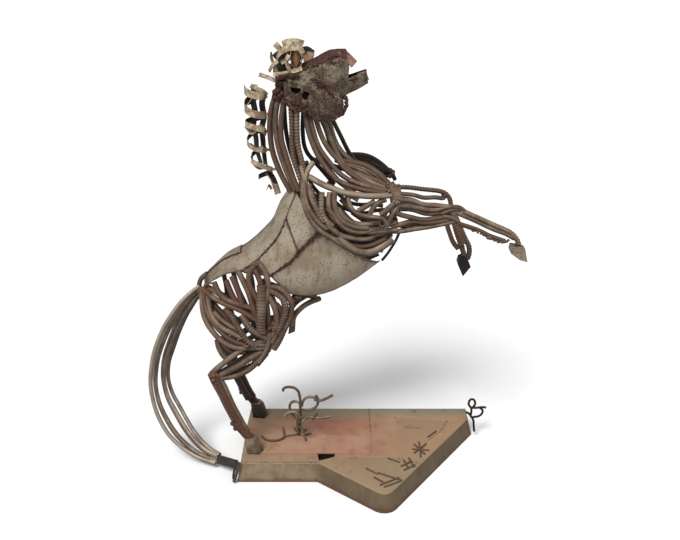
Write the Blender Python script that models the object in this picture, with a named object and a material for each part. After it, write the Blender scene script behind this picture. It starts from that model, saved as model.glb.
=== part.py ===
"""Rearing horse welded from bent bars, strips and sheet, on a hollow plate plinth.

Metres, +Z up. The origin is under the middle of the whole work, on the floor.
The figure faces +X. Its near side, which has the more finished plates, faces -Y.
"""
import math

import bmesh
import bpy
from mathutils import Vector
from mathutils.bvhtree import BVHTree

# Plinth sizes, in metres. Its top is level, and its sides flare a little downwards.
PLINTH_HEIGHT = 0.060
PLINTH_LEFT = -0.296
PLINTH_BACK = 0.144
BACK_LENGTH = 0.713
END_LENGTH = 0.060
LEFT_LENGTH = 0.315
FRONT_LENGTH = 0.233
POINT_ALONG = 0.429
POINT_REACH = 0.481
POINT_RADIUS = 0.028
FLARE = 0.014
PLATE = 0.005
BAND_WALL = 0.005
SEAM_ALONG = 0.392
STRIP_DEPTH = 0.053
HOLE_START = 0.226
HOLE_LENGTH = 0.056
HOLE_DEPTH = 0.034
DRILL = 0.007
DRILLS = [(0.345, -0.288), (0.476, -0.053), (0.475, -0.290)]
END_DRILL = (0.071, -0.078)

# Neighbouring pieces stay this far apart.
GAP = 0.0003

# The figure is drawn 122 units high above the plinth's top, hind hooves at unit -26.
FIGURE_HEIGHT = 1.220
FIGURE_UNITS = 122.0
STAND_UNIT = -26.0
STAND_ALONG = 0.036
UNIT = FIGURE_HEIGHT / FIGURE_UNITS
STAND_X = PLINTH_LEFT + STAND_ALONG

# Stock and welds, in figure units like the drawing, so that they grow with the figure.
REBAR = 1.27
HEAVY_BAR = 1.60
TAIL_BAR = 0.98
SCROLL_BAR = 0.95
TUBE = 2.4
FORE_PASTERN_BAR = 2.0
FAR_PASTERN_BAR = 2.2
HIND_PASTERN_BAR = 2.5
SPINE_BAR = 2.4
WELD = 1.38
THIN_WELD = 1.4
FETLOCK_WELD = 1.8
DOCK_WELD = 1.7
TAIL_END_WELD = 1.3
MANE_WELD = 0.9
CHEST_KNOT = 5.8
KNEE_KNOT = 3.4
STIFLE_KNOT = 3.0
HOCK_KNOT = 3.6
BROW_KNOT = 2.6
CORNER_KNOT = 1.6
SKIN = 0.30
SKIN_SEAM = 0.15
HEAD_SHEET = 0.35
NOSE_WIDTH = 5.8
NOSE_SIDE = 2.2
LIP_WIDTH = 5.0
THROAT_WIDTH = 11.0
JAW_WIDTH = 6.0
CHIN_WIDTH = 4.6
MANE_WIDTH = 2.0
CURL_WIDTH = 1.8
EAR_WIDTH = 1.5
EAR_SHEET = 0.3
MANE_SHEET = 0.25
LEG_SHEET = 0.40
DOCK_WIDTH = 2.4
DOCK_SHEET = 0.5
LUG_WIDTH = 2.6
LUG_SHEET = 0.8

NEAR = -1
FAR = 1
BAR_SIDES = 4
TIE_SIDES = 3
BAR_RINGS = 4
TIE_INSET = 0.05
FLAT = math.radians(0.3)

# Barrel of the body: back line and belly line from rump to chest, and half widths.
BACK_LINE = [(-41, 52.5), (-33.5, 60), (-27.5, 63.5), (-23, 67.5), (-19.5, 71.5), (-17, 77), (-13.5, 82)]
BELLY_LINE = [(-30, 42), (-23.5, 44), (-16.5, 44), (-9, 46.5), (-1.5, 49), (5.5, 53.5), (12, 59)]
HALF_WIDTH = [(8.5,), (11,), (12,), (12,), (12,), (11.5,), (10.5,)]
BARREL_LENGTH = 50.0
BARREL_ROUND = 37.0

# Seams of the body's plates: share along the barrel, share round from spine to belly.
BACK_SEAM = [(0.03, 0.17), (0.14, 0.24), (0.25, 0.28), (0.40, 0.26), (0.54, 0.24), (0.68, 0.22), (0.82, 0.205),
             (0.91, 0.17), (1.0, 0.135)]
SPINE_SEAM = [(s, 0.0) for s, _ in BACK_SEAM]
RIB_SEAM = [(0.44, 0.42), (0.51, 0.416), (0.585, 0.412), (0.655, 0.409), (0.73, 0.405), (0.84, 0.415),
            (0.95, 0.425)]
BELLY_EDGE = [(0.47, 0.60), (0.52, 0.68), (0.60, 0.75), (0.70, 0.80), (0.80, 0.845), (0.89, 0.885), (1.0, 0.94)]

COLOURS = {
    "bar": ((0.190, 0.140, 0.105), 0.62, 0.75),
    "rusty bar": ((0.175, 0.095, 0.065), 0.75, 0.55),
    "dark bar": ((0.060, 0.045, 0.038), 0.65, 0.70),
    "tail bar": ((0.230, 0.185, 0.145), 0.50, 0.80),
    "body plate": ((0.300, 0.265, 0.210), 0.55, 0.60),
    "head plate": ((0.215, 0.200, 0.160), 0.70, 0.50),
    "head weld": ((0.120, 0.060, 0.045), 0.80, 0.40),
    "copper plate": ((0.400, 0.230, 0.160), 0.45, 0.80),
    "mane strip": ((0.420, 0.350, 0.260), 0.45, 0.80),
    "hoof": ((0.330, 0.280, 0.210), 0.50, 0.70),
    "dark hoof": ((0.035, 0.032, 0.030), 0.60, 0.60),
    "plinth top": ((0.400, 0.270, 0.190), 0.65, 0.50),
    "plinth side": ((0.220, 0.170, 0.110), 0.65, 0.55),
}


def clear_scene():
    """Empty the scene, one object at a time."""
    for thing in list(bpy.data.objects):
        bpy.data.objects.remove(thing, do_unlink=True)


def material(name):
    """The metal finish of one kind of part."""
    found = bpy.data.materials.get(name)
    if found:
        return found
    colour, roughness, metallic = COLOURS[name]
    made = bpy.data.materials.new(name)
    made.use_nodes = True
    shader = made.node_tree.nodes["Principled BSDF"]
    shader.inputs["Base Color"].default_value = (*colour, 1.0)
    shader.inputs["Roughness"].default_value = roughness
    shader.inputs["Metallic"].default_value = metallic
    return made


def at(x, y, h):
    """A place on the figure, from units ahead, units sideways and units above the plinth."""
    return Vector((STAND_X + (x - STAND_UNIT) * UNIT, y * UNIT, PLINTH_HEIGHT + h * UNIT))


def by_plinth(corner, dx, dy, h):
    """Figure units of a place drawn from a plan corner of the plinth, which is given in metres."""
    return ((corner[0] - STAND_X) / UNIT + STAND_UNIT + dx, corner[1] / UNIT + dy, h)


def along(points, t):
    """The point at share t of a smooth curve through the points."""
    last = len(points) - 1
    span = min(int(t * last), last - 1)
    f = t * last - span

    def near(i):
        return points[max(0, min(last, i))]

    a, b, c, d = near(span - 1), near(span), near(span + 1), near(span + 2)
    return tuple(0.5 * (2 * q + (r - p) * f + (2 * p - 5 * q + 4 * r - s) * f * f
                        + (3 * q - p - 3 * r + s) * f * f * f) for p, q, r, s in zip(a, b, c, d))


def far(points, spread=1.0):
    """The same path on the figure's far side."""
    return [(x, -y * spread, h) for x, y, h in points]


def fan(first, last, shares, bow=0.0, rings=BAR_RINGS):
    """Paths that spread between a first and a last path, bowed out sideways."""
    side = -1.0 if first[0][1] < 0 else 1.0
    paths = []
    for share in shares:
        path = []
        for i in range(rings + 1):
            p = along(first, i / rings)
            q = along(last, i / rings)
            mix = [a + (b - a) * share for a, b in zip(p, q)]
            mix[1] += side * bow * 4.0 * share * (1.0 - share)
            path.append(tuple(mix))
        paths.append(path)
    return paths


def mesh_object(name, verts, faces):
    """A closed mesh whose faces point out."""
    mesh = bpy.data.meshes.new(name)
    mesh.from_pydata([tuple(v) for v in verts], [], faces)
    work = bmesh.new()
    work.from_mesh(mesh)
    bmesh.ops.recalc_face_normals(work, faces=work.faces)
    bmesh.ops.triangulate(work, faces=work.faces, quad_method="FIXED", ngon_method="EAR_CLIP")
    work.to_mesh(mesh)
    work.free()
    made = bpy.data.objects.new(name, mesh)
    bpy.context.scene.collection.objects.link(made)
    return made


def sweep(places, rings):
    """Skin a list of equal rings of corners and close both ends."""
    count = len(rings[0])
    verts = [place + corner for place, ring in zip(places, rings) for corner in ring]
    faces = []
    for i in range(len(places) - 1):
        for j in range(count):
            k = (j + 1) % count
            faces.append((i * count + j, i * count + k, (i + 1) * count + k, (i + 1) * count + j))
    faces.append(tuple(range(count)))
    faces.append(tuple((len(places) - 1) * count + j for j in range(count)))
    return mesh_object("sweep", verts, faces)


def directions(places):
    """The way a path runs at each of its places."""
    last = len(places) - 1
    return [(places[min(i + 1, last)] - places[max(i - 1, 0)]).normalized() for i in range(last + 1)]


def bar(points, thickness=REBAR, rings=BAR_RINGS, sides=BAR_SIDES):
    """A bar bent along a smooth curve through the points."""
    def make(grow):
        places = [at(*along(points, i / rings)) for i in range(rings + 1)]
        ways = directions(places)
        places[0] = places[0] - ways[0] * grow
        places[-1] = places[-1] + ways[-1] * grow
        side = ways[0].orthogonal().normalized()
        sections = []
        radius = thickness / 2 * UNIT + grow
        for way in ways:
            side = (side - way * side.dot(way)).normalized()
            up = way.cross(side)
            turns = [2 * math.pi * j / sides for j in range(sides)]
            sections.append([(side * math.cos(turn) + up * math.sin(turn)) * radius for turn in turns])
        return sweep(places, sections)
    return make


def strip(points, width, sheet, across=(0, 1, 0), across_end=None, rings=BAR_RINGS):
    """A flat strip bent along a curve, its width lying along across."""
    def make(grow):
        places = [at(*along(points, i / rings)) for i in range(rings + 1)]
        ways = directions(places)
        places[0] = places[0] - ways[0] * grow
        places[-1] = places[-1] + ways[-1] * grow
        sections = []
        for i, way in enumerate(ways):
            lay = Vector(across).lerp(Vector(across_end or across), i / rings)
            lay = (lay - way * lay.dot(way)).normalized()
            up = way.cross(lay)
            half, thick = width / 2 * UNIT + grow, sheet / 2 * UNIT + grow
            sections.append([lay * half + up * thick, up * thick - lay * half,
                             -lay * half - up * thick, lay * half - up * thick])
        return sweep(places, sections)
    return make


def lump(x, y, h, size=WELD, squash=1.0):
    """A knot of weld."""
    def make(grow):
        verts = []
        faces = []
        radius = size / 2 * UNIT + grow
        work = bmesh.new()
        bmesh.ops.create_icosphere(work, subdivisions=1, radius=radius)
        work.verts.index_update()
        for vert in work.verts:
            verts.append(at(x, y, h) + Vector((vert.co.x, vert.co.y * squash, vert.co.z)))
        for face in work.faces:
            faces.append(tuple(v.index for v in face.verts))
        work.free()
        return mesh_object("lump", verts, faces)
    return make


def sheet_patch(corners, thickness, crown=0.0):
    """A sheet cut to an outline, its middle pushed out sideways by crown."""
    def make(grow):
        side = -1.0 if sum(c[1] for c in corners) < 0 else 1.0
        places = [at(*c) for c in corners]
        middle = sum(places, Vector()) / len(places)
        rim = [p + (p - middle).normalized() * grow for p in places]
        outer = Vector((0, side * (thickness / 2 * UNIT + grow), 0))
        rise = Vector((0, side * crown * UNIT, 0))
        count = len(rim)
        verts = [p + outer for p in rim] + [p - outer for p in rim]
        verts += [middle + rise + outer, middle + rise - outer]
        faces = []
        for i in range(count):
            j = (i + 1) % count
            faces.append((i, j, 2 * count))
            faces.append((count + j, count + i, 2 * count + 1))
            faces.append((j, i, count + i, count + j))
        return mesh_object("patch", verts, faces)
    return make


def disc(x, y, h, radius, count=12):
    """The outline of a round plate facing sideways."""
    return [(x + radius * math.cos(2 * math.pi * i / count), y,
             h + radius * math.sin(2 * math.pi * i / count)) for i in range(count)]


def barrel(s, turn, side):
    """A place on the body's skin and the way it faces; turn is 0 at the spine, 1 at the belly."""
    bx, bh = along(BACK_LINE, s)
    ux, uh = along(BELLY_LINE, s)
    width = along(HALF_WIDTH, s)[0]
    angle = math.pi * turn
    cos, sin = math.cos(angle), math.sin(angle)
    place = at((bx + ux) / 2 + (bx - ux) / 2 * cos, side * width * sin, (bh + uh) / 2 + (bh - uh) / 2 * cos)
    middle = at((bx + ux) / 2, 0, (bh + uh) / 2)
    out = (place - middle).normalized()
    return place, out


def skin_plate(upper, lower, side, rows=3, lift=0.0):
    """A plate of the body between two seams, each a list of (along, round) shares."""
    def make(grow):
        count = len(upper)
        inset = SKIN_SEAM / 2 - grow / UNIT
        tops, bottoms = [], []
        for row in range(rows + 1):
            for i in range(count):
                v = row / rows
                s = upper[i][0] + (lower[i][0] - upper[i][0]) * v
                turn = upper[i][1] + (lower[i][1] - upper[i][1]) * v
                s += inset / BARREL_LENGTH * ((i == 0) - (i == count - 1))
                turn += inset / BARREL_ROUND * ((row == 0) - (row == rows))
                place, out = barrel(s, turn, side)
                tops.append(place + out * (lift * UNIT + grow))
                bottoms.append(place + out * ((lift - SKIN) * UNIT - grow))
        verts = tops + bottoms
        under = len(tops)
        faces = []
        for row in range(rows):
            for i in range(count - 1):
                a, b = row * count + i, row * count + i + 1
                c, d = b + count, a + count
                faces.append((a, b, c, d))
                faces.append((under + d, under + c, under + b, under + a))
        rim = [i for i in range(count)] + [row * count + count - 1 for row in range(1, rows + 1)]
        rim += [rows * count + i for i in range(count - 2, -1, -1)] + [row * count for row in range(rows - 1, 0, -1)]
        for i, a in enumerate(rim):
            b = rim[(i + 1) % len(rim)]
            faces.append((b, a, under + a, under + b))
        return mesh_object("skin", verts, faces)
    return make


def block(bottom, top):
    """A solid between two outlines with as many corners, given in figure units."""
    def make(grow):
        loops = []
        for outline, lift in ((bottom, -grow), (top, grow)):
            places = [at(*c) for c in outline]
            middle = sum(places, Vector()) / len(places)
            loops.append([p + (p - middle).normalized() * grow + Vector((0, 0, lift)) for p in places])
        count = len(bottom)
        faces = [tuple(range(count)), tuple(range(count, 2 * count))]
        for i in range(count):
            j = (i + 1) % count
            faces.append((i, j, count + j, count + i))
        return mesh_object("block", loops[0] + loops[1], faces)
    return make


def plinth_corners():
    """The plan of the plinth's top, anticlockwise from the back left corner."""
    right = PLINTH_LEFT + BACK_LENGTH
    return [(PLINTH_LEFT, PLINTH_BACK), (PLINTH_LEFT, PLINTH_BACK - LEFT_LENGTH),
            (PLINTH_LEFT + FRONT_LENGTH, PLINTH_BACK - LEFT_LENGTH),
            (PLINTH_LEFT + POINT_ALONG, PLINTH_BACK - POINT_REACH),
            (right, PLINTH_BACK - END_LENGTH), (right, PLINTH_BACK)]


def rounded(corners, which, radius, steps=4):
    """The same outline with one corner rounded."""
    a, b, c = (Vector(corners[(which + k) % len(corners)]) for k in (-1, 0, 1))
    u, v = (a - b).normalized(), (c - b).normalized()
    half = math.acos(max(-1.0, min(1.0, u.dot(v)))) / 2
    middle = b + (u + v).normalized() * radius / math.sin(half)
    start = b + u * radius / math.tan(half) - middle
    end = b + v * radius / math.tan(half) - middle
    turn = math.pi - 2 * half
    sign = 1.0 if start.x * end.y - start.y * end.x > 0 else -1.0
    arc = []
    for k in range(steps + 1):
        angle = sign * turn * k / steps
        arc.append((middle.x + start.x * math.cos(angle) - start.y * math.sin(angle),
                    middle.y + start.x * math.sin(angle) + start.y * math.cos(angle)))
    return corners[:which] + arc + corners[which + 1:]


def pushed(outline, distance):
    """An anticlockwise outline moved outwards by a distance."""
    moved = []
    for i, b in enumerate(outline):
        a, c = Vector(outline[i - 1]), Vector(outline[(i + 1) % len(outline)])
        b = Vector(b)
        u, v = (b - a).normalized(), (c - b).normalized()
        m, n = Vector((u.y, -u.x)), Vector((v.y, -v.x))
        mitre = (m + n) / (1 + m.dot(n))
        moved.append(tuple(b + mitre * distance))
    return moved


def prism(outline, low, high, low_outline=None):
    """An upright solid with the given plan, in metres."""
    def make(grow):
        base = pushed(low_outline or outline, grow)
        head = pushed(outline, grow)
        count = len(outline)
        verts = [Vector((x, y, low - grow)) for x, y in base] + [Vector((x, y, high + grow)) for x, y in head]
        faces = [tuple(range(count)), tuple(range(count, 2 * count))]
        for i in range(count):
            j = (i + 1) % count
            faces.append((i, j, count + j, count + i))
        return mesh_object("prism", verts, faces)
    return make


def box_of(thing):
    """Lowest and highest corners of an object's mesh."""
    points = [v.co for v in thing.data.vertices]
    low = Vector([min(p[i] for p in points) for i in range(3)])
    high = Vector([max(p[i] for p in points) for i in range(3)])
    return low, high


def meets(one, other):
    """Whether two boxes touch."""
    return all(one[0][i] <= other[1][i] and other[0][i] <= one[1][i] for i in range(3))


def evaluated(thing):
    """The object's mesh with its modifiers."""
    return bpy.data.meshes.new_from_object(thing.evaluated_get(bpy.context.evaluated_depsgraph_get()))


def surface_of(thing):
    """A search tree of an object's faces."""
    return BVHTree.FromPolygons([v.co for v in thing.data.vertices], [p.vertices for p in thing.data.polygons])


def combine(first, others, operation, solver):
    """Join the others to the first object, or cut them from it."""
    if others:
        group = bpy.data.collections.new("others")
        for other in others:
            group.objects.link(other)
        change = first.modifiers.new("change", "BOOLEAN")
        change.solver = solver
        change.operation = operation
        change.operand_type = "COLLECTION"
        change.collection = group
        old = first.data
        new = evaluated(first)
        first.modifiers.clear()
        first.data = new
        bpy.data.meshes.remove(old)
        bpy.data.collections.remove(group)
        for other in others:
            bpy.data.objects.remove(other, do_unlink=True)


def closed(thing):
    """Whether each edge of the mesh is shared by exactly two faces."""
    work = bmesh.new()
    work.from_mesh(thing.data)
    whole = all(len(edge.link_faces) == 2 for edge in work.edges)
    work.free()
    return whole


def largest_body(thing):
    """Keep the biggest body: a neighbour's cut can leave an end of bar on its hidden side."""
    work = bmesh.new()
    work.from_mesh(thing.data)
    bmesh.ops.dissolve_limit(work, angle_limit=FLAT, verts=work.verts, edges=work.edges)
    bmesh.ops.triangulate(work, faces=work.faces)
    seen = set()
    bodies = []
    for start in work.faces:
        if start in seen:
            continue
        body = {start}
        queue = [start]
        while queue:
            for edge in queue.pop().edges:
                for face in edge.link_faces:
                    if face not in body:
                        body.add(face)
                        queue.append(face)
        seen |= body
        bodies.append(body)

    def volume(body):
        return sum(f.verts[0].co.dot(f.verts[1].co.cross(f.verts[2].co)) for f in body) / 6

    keep = max(bodies, key=volume)
    bmesh.ops.delete(work, geom=[f for f in work.faces if f not in keep], context="FACES")
    work.to_mesh(thing.data)
    work.free()


class Work:
    """The pieces made so far, and what later pieces keep clear of."""

    def __init__(self):
        self.shapes = []
        self.pieces = []

    def neighbours(self, boxes):
        """Shapes of earlier pieces that lie close to any of the boxes."""
        return [shape for shape, box in self.shapes if any(meets(box, own) for own in boxes)]

    def form(self, shapes, cuts, solver):
        """Weld the shapes, cut the openings and cut back what would run into earlier pieces."""
        solids = [shape(0.0) for shape in shapes]
        boxes = [box_of(solid) for solid in solids]
        first = solids[0]
        combine(first, solids[1:], "UNION", solver)
        surface = surface_of(first)
        cutters = [cut(0.0) for cut in cuts]
        for shape in self.neighbours(boxes):
            cutter = shape(GAP)
            if surface.overlap(surface_of(cutter)):
                cutters.append(cutter)
            else:
                bpy.data.objects.remove(cutter, do_unlink=True)
        combine(first, cutters, "DIFFERENCE", solver)
        largest_body(first)
        return first, boxes

    def sound(self, thing, boxes):
        """Whether a piece is closed and clear of the pieces before it."""
        surface = surface_of(thing)
        clear = closed(thing)
        for shape in self.neighbours(boxes):
            other = shape(0.0)
            clear = clear and not surface.overlap(surface_of(other))
            bpy.data.objects.remove(other, do_unlink=True)
        return clear

    def piece(self, name, finish, shapes, cuts=(), smooth=True):
        """One piece of the work, in its own object with its own finish."""
        made, boxes = self.form(shapes, cuts, "EXACT")
        if not self.sound(made, boxes):
            bpy.data.objects.remove(made, do_unlink=True)
            made, boxes = self.form(shapes, cuts, "MANIFOLD")
        made.name = name
        made.data.name = name
        made.data.materials.clear()
        made.data.materials.append(material(finish))
        if smooth:
            made.data.shade_smooth()
            made.data.set_sharp_from_angle(angle=math.radians(40))
        margin = Vector((GAP, GAP, GAP)) * 2
        for shape, box in zip(shapes, boxes):
            self.shapes.append((shape, (box[0] - margin, box[1] + margin)))
        self.pieces.append(made)
        return made


def build_plinth(work):
    """Flared band round the edge, and three plates that close the top."""
    corners = plinth_corners()
    plan = rounded(corners, 3, POINT_RADIUS)
    top = PLINTH_HEIGHT
    under = top - PLATE - GAP
    foot = pushed(plan, FLARE)
    inner = pushed(plan, -BAND_WALL)
    inner_foot = pushed(plan, FLARE - BAND_WALL)
    work.piece("plinth_side_band", "plinth side", [prism(plan, 0.0, under, foot)],
               cuts=[prism(inner, -PLATE, top, inner_foot)], smooth=False)

    front = PLINTH_BACK - LEFT_LENGTH
    ledge = front + STRIP_DEPTH
    left, right = PLINTH_LEFT, PLINTH_LEFT + BACK_LENGTH
    seam = left + SEAM_ALONG
    half = GAP / 2
    hole_left = left + HOLE_START
    hole_right = hole_left + HOLE_LENGTH
    hole_low = ledge - HOLE_DEPTH
    end = left + FRONT_LENGTH
    rear = [(left, PLINTH_BACK), (left, ledge + half), (seam - half, ledge + half), (seam - half, PLINTH_BACK)]
    work.piece("plinth_top_left", "plinth top", [prism(rear, under + GAP, top)], smooth=False)
    strip_plan = [(left, ledge - half), (left, front), (end - half, front), (end - half, hole_low - 0.008),
                  (hole_left, ledge - half)]
    work.piece("plinth_top_front", "plinth top", [prism(strip_plan, under + GAP, top)], smooth=False)
    wide = [(seam + half, PLINTH_BACK), (seam + half, ledge - half), (hole_right, ledge - half),
            (hole_right - 0.004, hole_low + 0.012), (end + half, hole_low - 0.008), (end + half, front)]
    wide += plan[3:3 + 5] + [(right, PLINTH_BACK - END_LENGTH), (right, PLINTH_BACK)]
    holes = []
    for dx, dy in DRILLS + [(BACK_LENGTH - END_DRILL[0], END_DRILL[1])]:
        ring = [(left + dx + DRILL / 2 * math.cos(a), PLINTH_BACK + dy + DRILL / 2 * math.sin(a))
                for a in (2 * math.pi * k / 8 for k in range(8))]
        holes.append(prism(ring, under - PLATE, top + PLATE))
    work.piece("plinth_top_right", "plinth top", [prism(wide, under + GAP, top)], cuts=holes, smooth=False)


def build_hooves(work):
    """Two hind hooves stand on the plinth, two fore hooves hang in the air."""
    seat = GAP / UNIT
    for name, side in (("hoof_hind_near", -1), ("hoof_hind_far", 1)):
        y = side * 10.5
        sole = [(-28.4, y - 2.0, seat), (-24.6, y - 2.4, seat), (-23.4, y, seat), (-24.6, y + 2.4, seat),
                (-28.4, y + 2.0, seat)]
        crown = [(-29.0, y - 1.6, 5.0), (-26.4, y - 1.9, 5.0), (-25.0, y, 5.0), (-26.4, y + 1.9, 5.0),
                 (-29.0, y + 1.6, 5.0)]
        work.piece(name, "hoof", [block(sole, crown)], smooth=False)
    near_y, far_y = -6.5, 6.0
    toe = [(48.3, near_y - 2.4, 64.0), (50.8, near_y - 2.8, 62.2), (53.2, near_y - 2.4, 61.4),
           (53.2, near_y + 2.4, 61.4), (50.8, near_y + 2.8, 62.2), (48.3, near_y + 2.4, 64.0)]
    crown = [(48.4, near_y - 1.6, 66.0), (50.4, near_y - 1.9, 65.6), (52.4, near_y - 1.6, 65.2),
             (52.4, near_y + 1.6, 65.2), (50.4, near_y + 1.9, 65.6), (48.4, near_y + 1.6, 66.0)]
    work.piece("hoof_fore_near", "hoof", [block(toe, crown)], smooth=False)
    toe = [(35.2, far_y - 1.9, 55.6), (36.9, far_y - 2.2, 51.8), (39.2, far_y - 1.8, 54.7),
           (39.2, far_y + 1.8, 54.7), (36.9, far_y + 2.2, 51.8), (35.2, far_y + 1.9, 55.6)]
    crown = [(35.5, far_y - 1.4, 57.5), (36.9, far_y - 1.7, 58.0), (38.4, far_y - 1.4, 56.6),
             (38.4, far_y + 1.4, 56.6), (36.9, far_y + 1.7, 58.0), (35.5, far_y + 1.4, 57.5)]
    work.piece("hoof_fore_far", "dark hoof", [block(toe, crown)], smooth=False)


def build_body(work):
    """Four plates on the near side, two on the far side, and a strip over the croup."""
    work.piece("back_plate_near", "body plate", [skin_plate(SPINE_SEAM, BACK_SEAM, NEAR, rows=2)])
    work.piece("rib_plate_near", "body plate", [skin_plate(BACK_SEAM[6:], RIB_SEAM[4:], NEAR)])
    work.piece("flank_plate_near", "body plate", [skin_plate(BACK_SEAM[2:7], RIB_SEAM[:5], NEAR)])
    work.piece("belly_plate_near", "body plate", [skin_plate(RIB_SEAM, BELLY_EDGE, NEAR, rows=4)])
    work.piece("back_plate_far", "body plate", [skin_plate(SPINE_SEAM, BACK_SEAM, FAR, rows=2)])
    work.piece("flank_plate_far", "body plate", [skin_plate(
        BACK_SEAM[2:], BELLY_EDGE, FAR, rows=5)])
    croup = [(0.035, -0.05), (0.12, -0.05), (0.20, -0.05), (0.30, -0.04)]
    edge = [(0.035, 0.01), (0.12, 0.04), (0.20, 0.075), (0.30, 0.10)]
    work.piece("croup_strip", "body plate", [skin_plate(croup, edge, NEAR, rows=2, lift=SKIN + GAP / UNIT)])


CREST_FIRST = [(-18.5, -0.68, 105), (-19.4, -0.7, 96), (-17.8, -0.8, 88), (-14.5, -1.2, 81)]
CREST_LAST = [(-11.4, -3.5, 105), (-11.5, -5, 96.5), (-10.4, -7, 90.5), (-9, -9, 85)]
THROAT_FIRST = [(-9.2, -4, 102.5), (-8.3, -5.5, 96.5), (-4.5, -8, 90), (1.6, -10.5, 84)]
THROAT_LAST = [(-3, -0.68, 101.5), (-1.5, -0.8, 95.5), (2, -1.4, 91), (9, -3.4, 89.2)]
CHEST_UPPER = [(0.5, -3, 90.2), (6, -5, 90.2), (11, -7, 88), (15.7, -8.5, 83.2)]
CHEST_LOWER = [(-2.7, -10, 86.5), (2.7, -11, 84.6), (8.7, -11.3, 83.4), (14, -10, 82.6)]
COLLAR = [(-9.3, -9.5, 86.4), (-2.2, -11.5, 83.6), (8.2, -12, 82.3), (13.5, -11, 82)]


def near(points):
    """The same path: the paths are drawn on the near side."""
    return points


def tie(paths, share, thickness=WELD):
    """A line of weld across a row of bars, at a share of their length."""
    across = [along(path, share) for path in paths]
    return bar(across, thickness=thickness, rings=max(1, len(paths) - 1), sides=TIE_SIDES)


def build_neck(work):
    """Bars that fan down both sides of the neck to the chest."""
    counts = (("near", near, (0.0, 0.2, 0.6, 1.0), (0.0, 0.33, 0.66, 1.0)),
              ("far", far, (0.0, 0.5, 1.0), (0.4, 1.0)))
    for name, side, crest_shares, throat_shares in counts:
        crest = fan(side(CREST_FIRST), side(CREST_LAST), crest_shares, bow=0.6, rings=3)
        throat = fan(side(THROAT_FIRST), side(THROAT_LAST), throat_shares, bow=1.0, rings=3)
        shapes = [bar(path, rings=3) for path in crest + throat]
        shapes += [tie(crest + throat, TIE_INSET), tie(crest + throat[:1], 1 - TIE_INSET)]
        work.piece("neck_bars_" + name, "bar", shapes)


CHEST_FRONT = [(17.5, -6, 69.8), (15.7, -5, 65.8), (13.8, -4, 62.1), (11.9, -2.5, 60)]
RING_OUTER = [(-9.8, -9.5, 85.8), (-9.8, -11.8, 80.7), (-8.2, -12.6, 75.7), (-4.1, -12.8, 71.7),
              (1.4, -12.3, 67.1), (7.9, -11, 64.1), (12.7, -9.5, 65.8), (15.8, -8, 68.5)]
RING_INNER = [(-2.2, -12, 83.6), (-1.9, -13, 78.9), (0, -13.3, 75.5), (3.3, -13.3, 73.5), (8.8, -12.8, 73),
              (14.4, -10.5, 73.8)]
RING_HOOK = [(3.3, -12.5, 81.5), (5, -13, 77.8), (9.8, -13, 76.4), (12.6, -12.5, 74.8)]
SHORT_RODS = [[(4.6, -12.8, 77.4), (7.6, -12.8, 79.9), (11.5, -11.8, 81.6)],
              [(9.4, -12.8, 76.8), (10.8, -12.4, 79.3), (14, -11, 81)]]
FORE_UPPER = [(13, -11, 81), (18, -10, 78.5), (23.6, -8.5, 77.5), (32, -7, 76)]
FORE_LOWER = [(13.3, -10, 72.1), (18, -9, 71.5), (23.8, -8, 71.7), (30.5, -7.2, 73.4)]
FAR_FORE_UPPER = [(15.5, 8.8, 80), (22, 8, 78.2), (28.1, 7, 77.9), (31.4, 6.5, 76.3), (32.4, 6, 72.5)]
FAR_FORE_LOWER = [(15.5, 9, 74.2), (22.1, 8, 74.6), (27.9, 7, 75.4), (31, 6.3, 73)]
CANNON_UPPER = [(31.6, -7, 76.2), (39.2, -7, 73.7), (44.5, -6.5, 71.2), (48.3, -6.5, 69.1)]
CANNON_LOWER = [(30.6, -7, 73.6), (36.6, -7, 71.7), (42.4, -6.5, 68.8), (47, -6.5, 67.6)]
PASTERN_FORE = [(47.2, -6.5, 69.2), (49.2, -6.5, 67.4), (50.4, -6.5, 65)]
FAR_CANNON_LEFT = [(31.6, 6, 73.4), (32.6, 6, 67.8), (35, 6, 61)]
FAR_CANNON_RIGHT = [(32.8, 6, 73), (35.2, 6, 66.5), (37.2, 6, 61.4)]
FAR_PASTERN = [(35.6, 6, 62.2), (36.5, 6, 60), (37, 6, 57)]

THIGH_OUTER_FIRST = [(-40.3, -5, 50.3), (-39.7, -8.5, 46.4), (-36.5, -11.5, 40.2), (-31.3, -12.5, 36.5),
                     (-25.6, -12, 35.2)]
THIGH_OUTER_LAST = [(-38.2, -7, 51.8), (-36.6, -10.5, 46.7), (-32.2, -13, 42.5), (-27.1, -13.5, 39.2),
                    (-22.6, -12.5, 37.4)]
THIGH_DOWN_FIRST = [(-31.2, -10, 57.7), (-29.5, -12, 54.2), (-27.2, -13.5, 49.9), (-24.6, -14, 42.6),
                    (-23.7, -12.8, 37)]
THIGH_DOWN_LAST = [(-23.2, -12, 62), (-21.9, -12.8, 59), (-21.1, -13.5, 54.9), (-21.5, -14, 48.9),
                   (-22.4, -12.8, 38.5)]
THIGH_BAND = [(-39.8, -6, 52.3), (-33.7, -11, 50.7), (-27.5, -13.9, 49.3), (-22, -14.3, 46.4)]
THIGH_CROSS = [(-33.8, -11.4, 50.2), (-30.3, -13.5, 44.9), (-26.5, -13.8, 38.8)]
STIFLE_FIRST = [(-21.5, -12.4, 54.9), (-17, -12.5, 53.8), (-15.1, -12.5, 50.7), (-15.1, -12.5, 47),
                (-17, -12.5, 41.9), (-21, -12, 36.9)]
STIFLE_LAST = [(-21.6, -13, 54.1), (-18.1, -13.5, 51.8), (-17.6, -13.5, 48.1), (-18.6, -13, 43.4),
               (-22.4, -12.6, 38.5)]
STIFLE_ROD = [(-5.9, -3, 46.5), (-10.2, -7, 47.6), (-12.7, -10, 46.4), (-15, -12.2, 44)]
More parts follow.
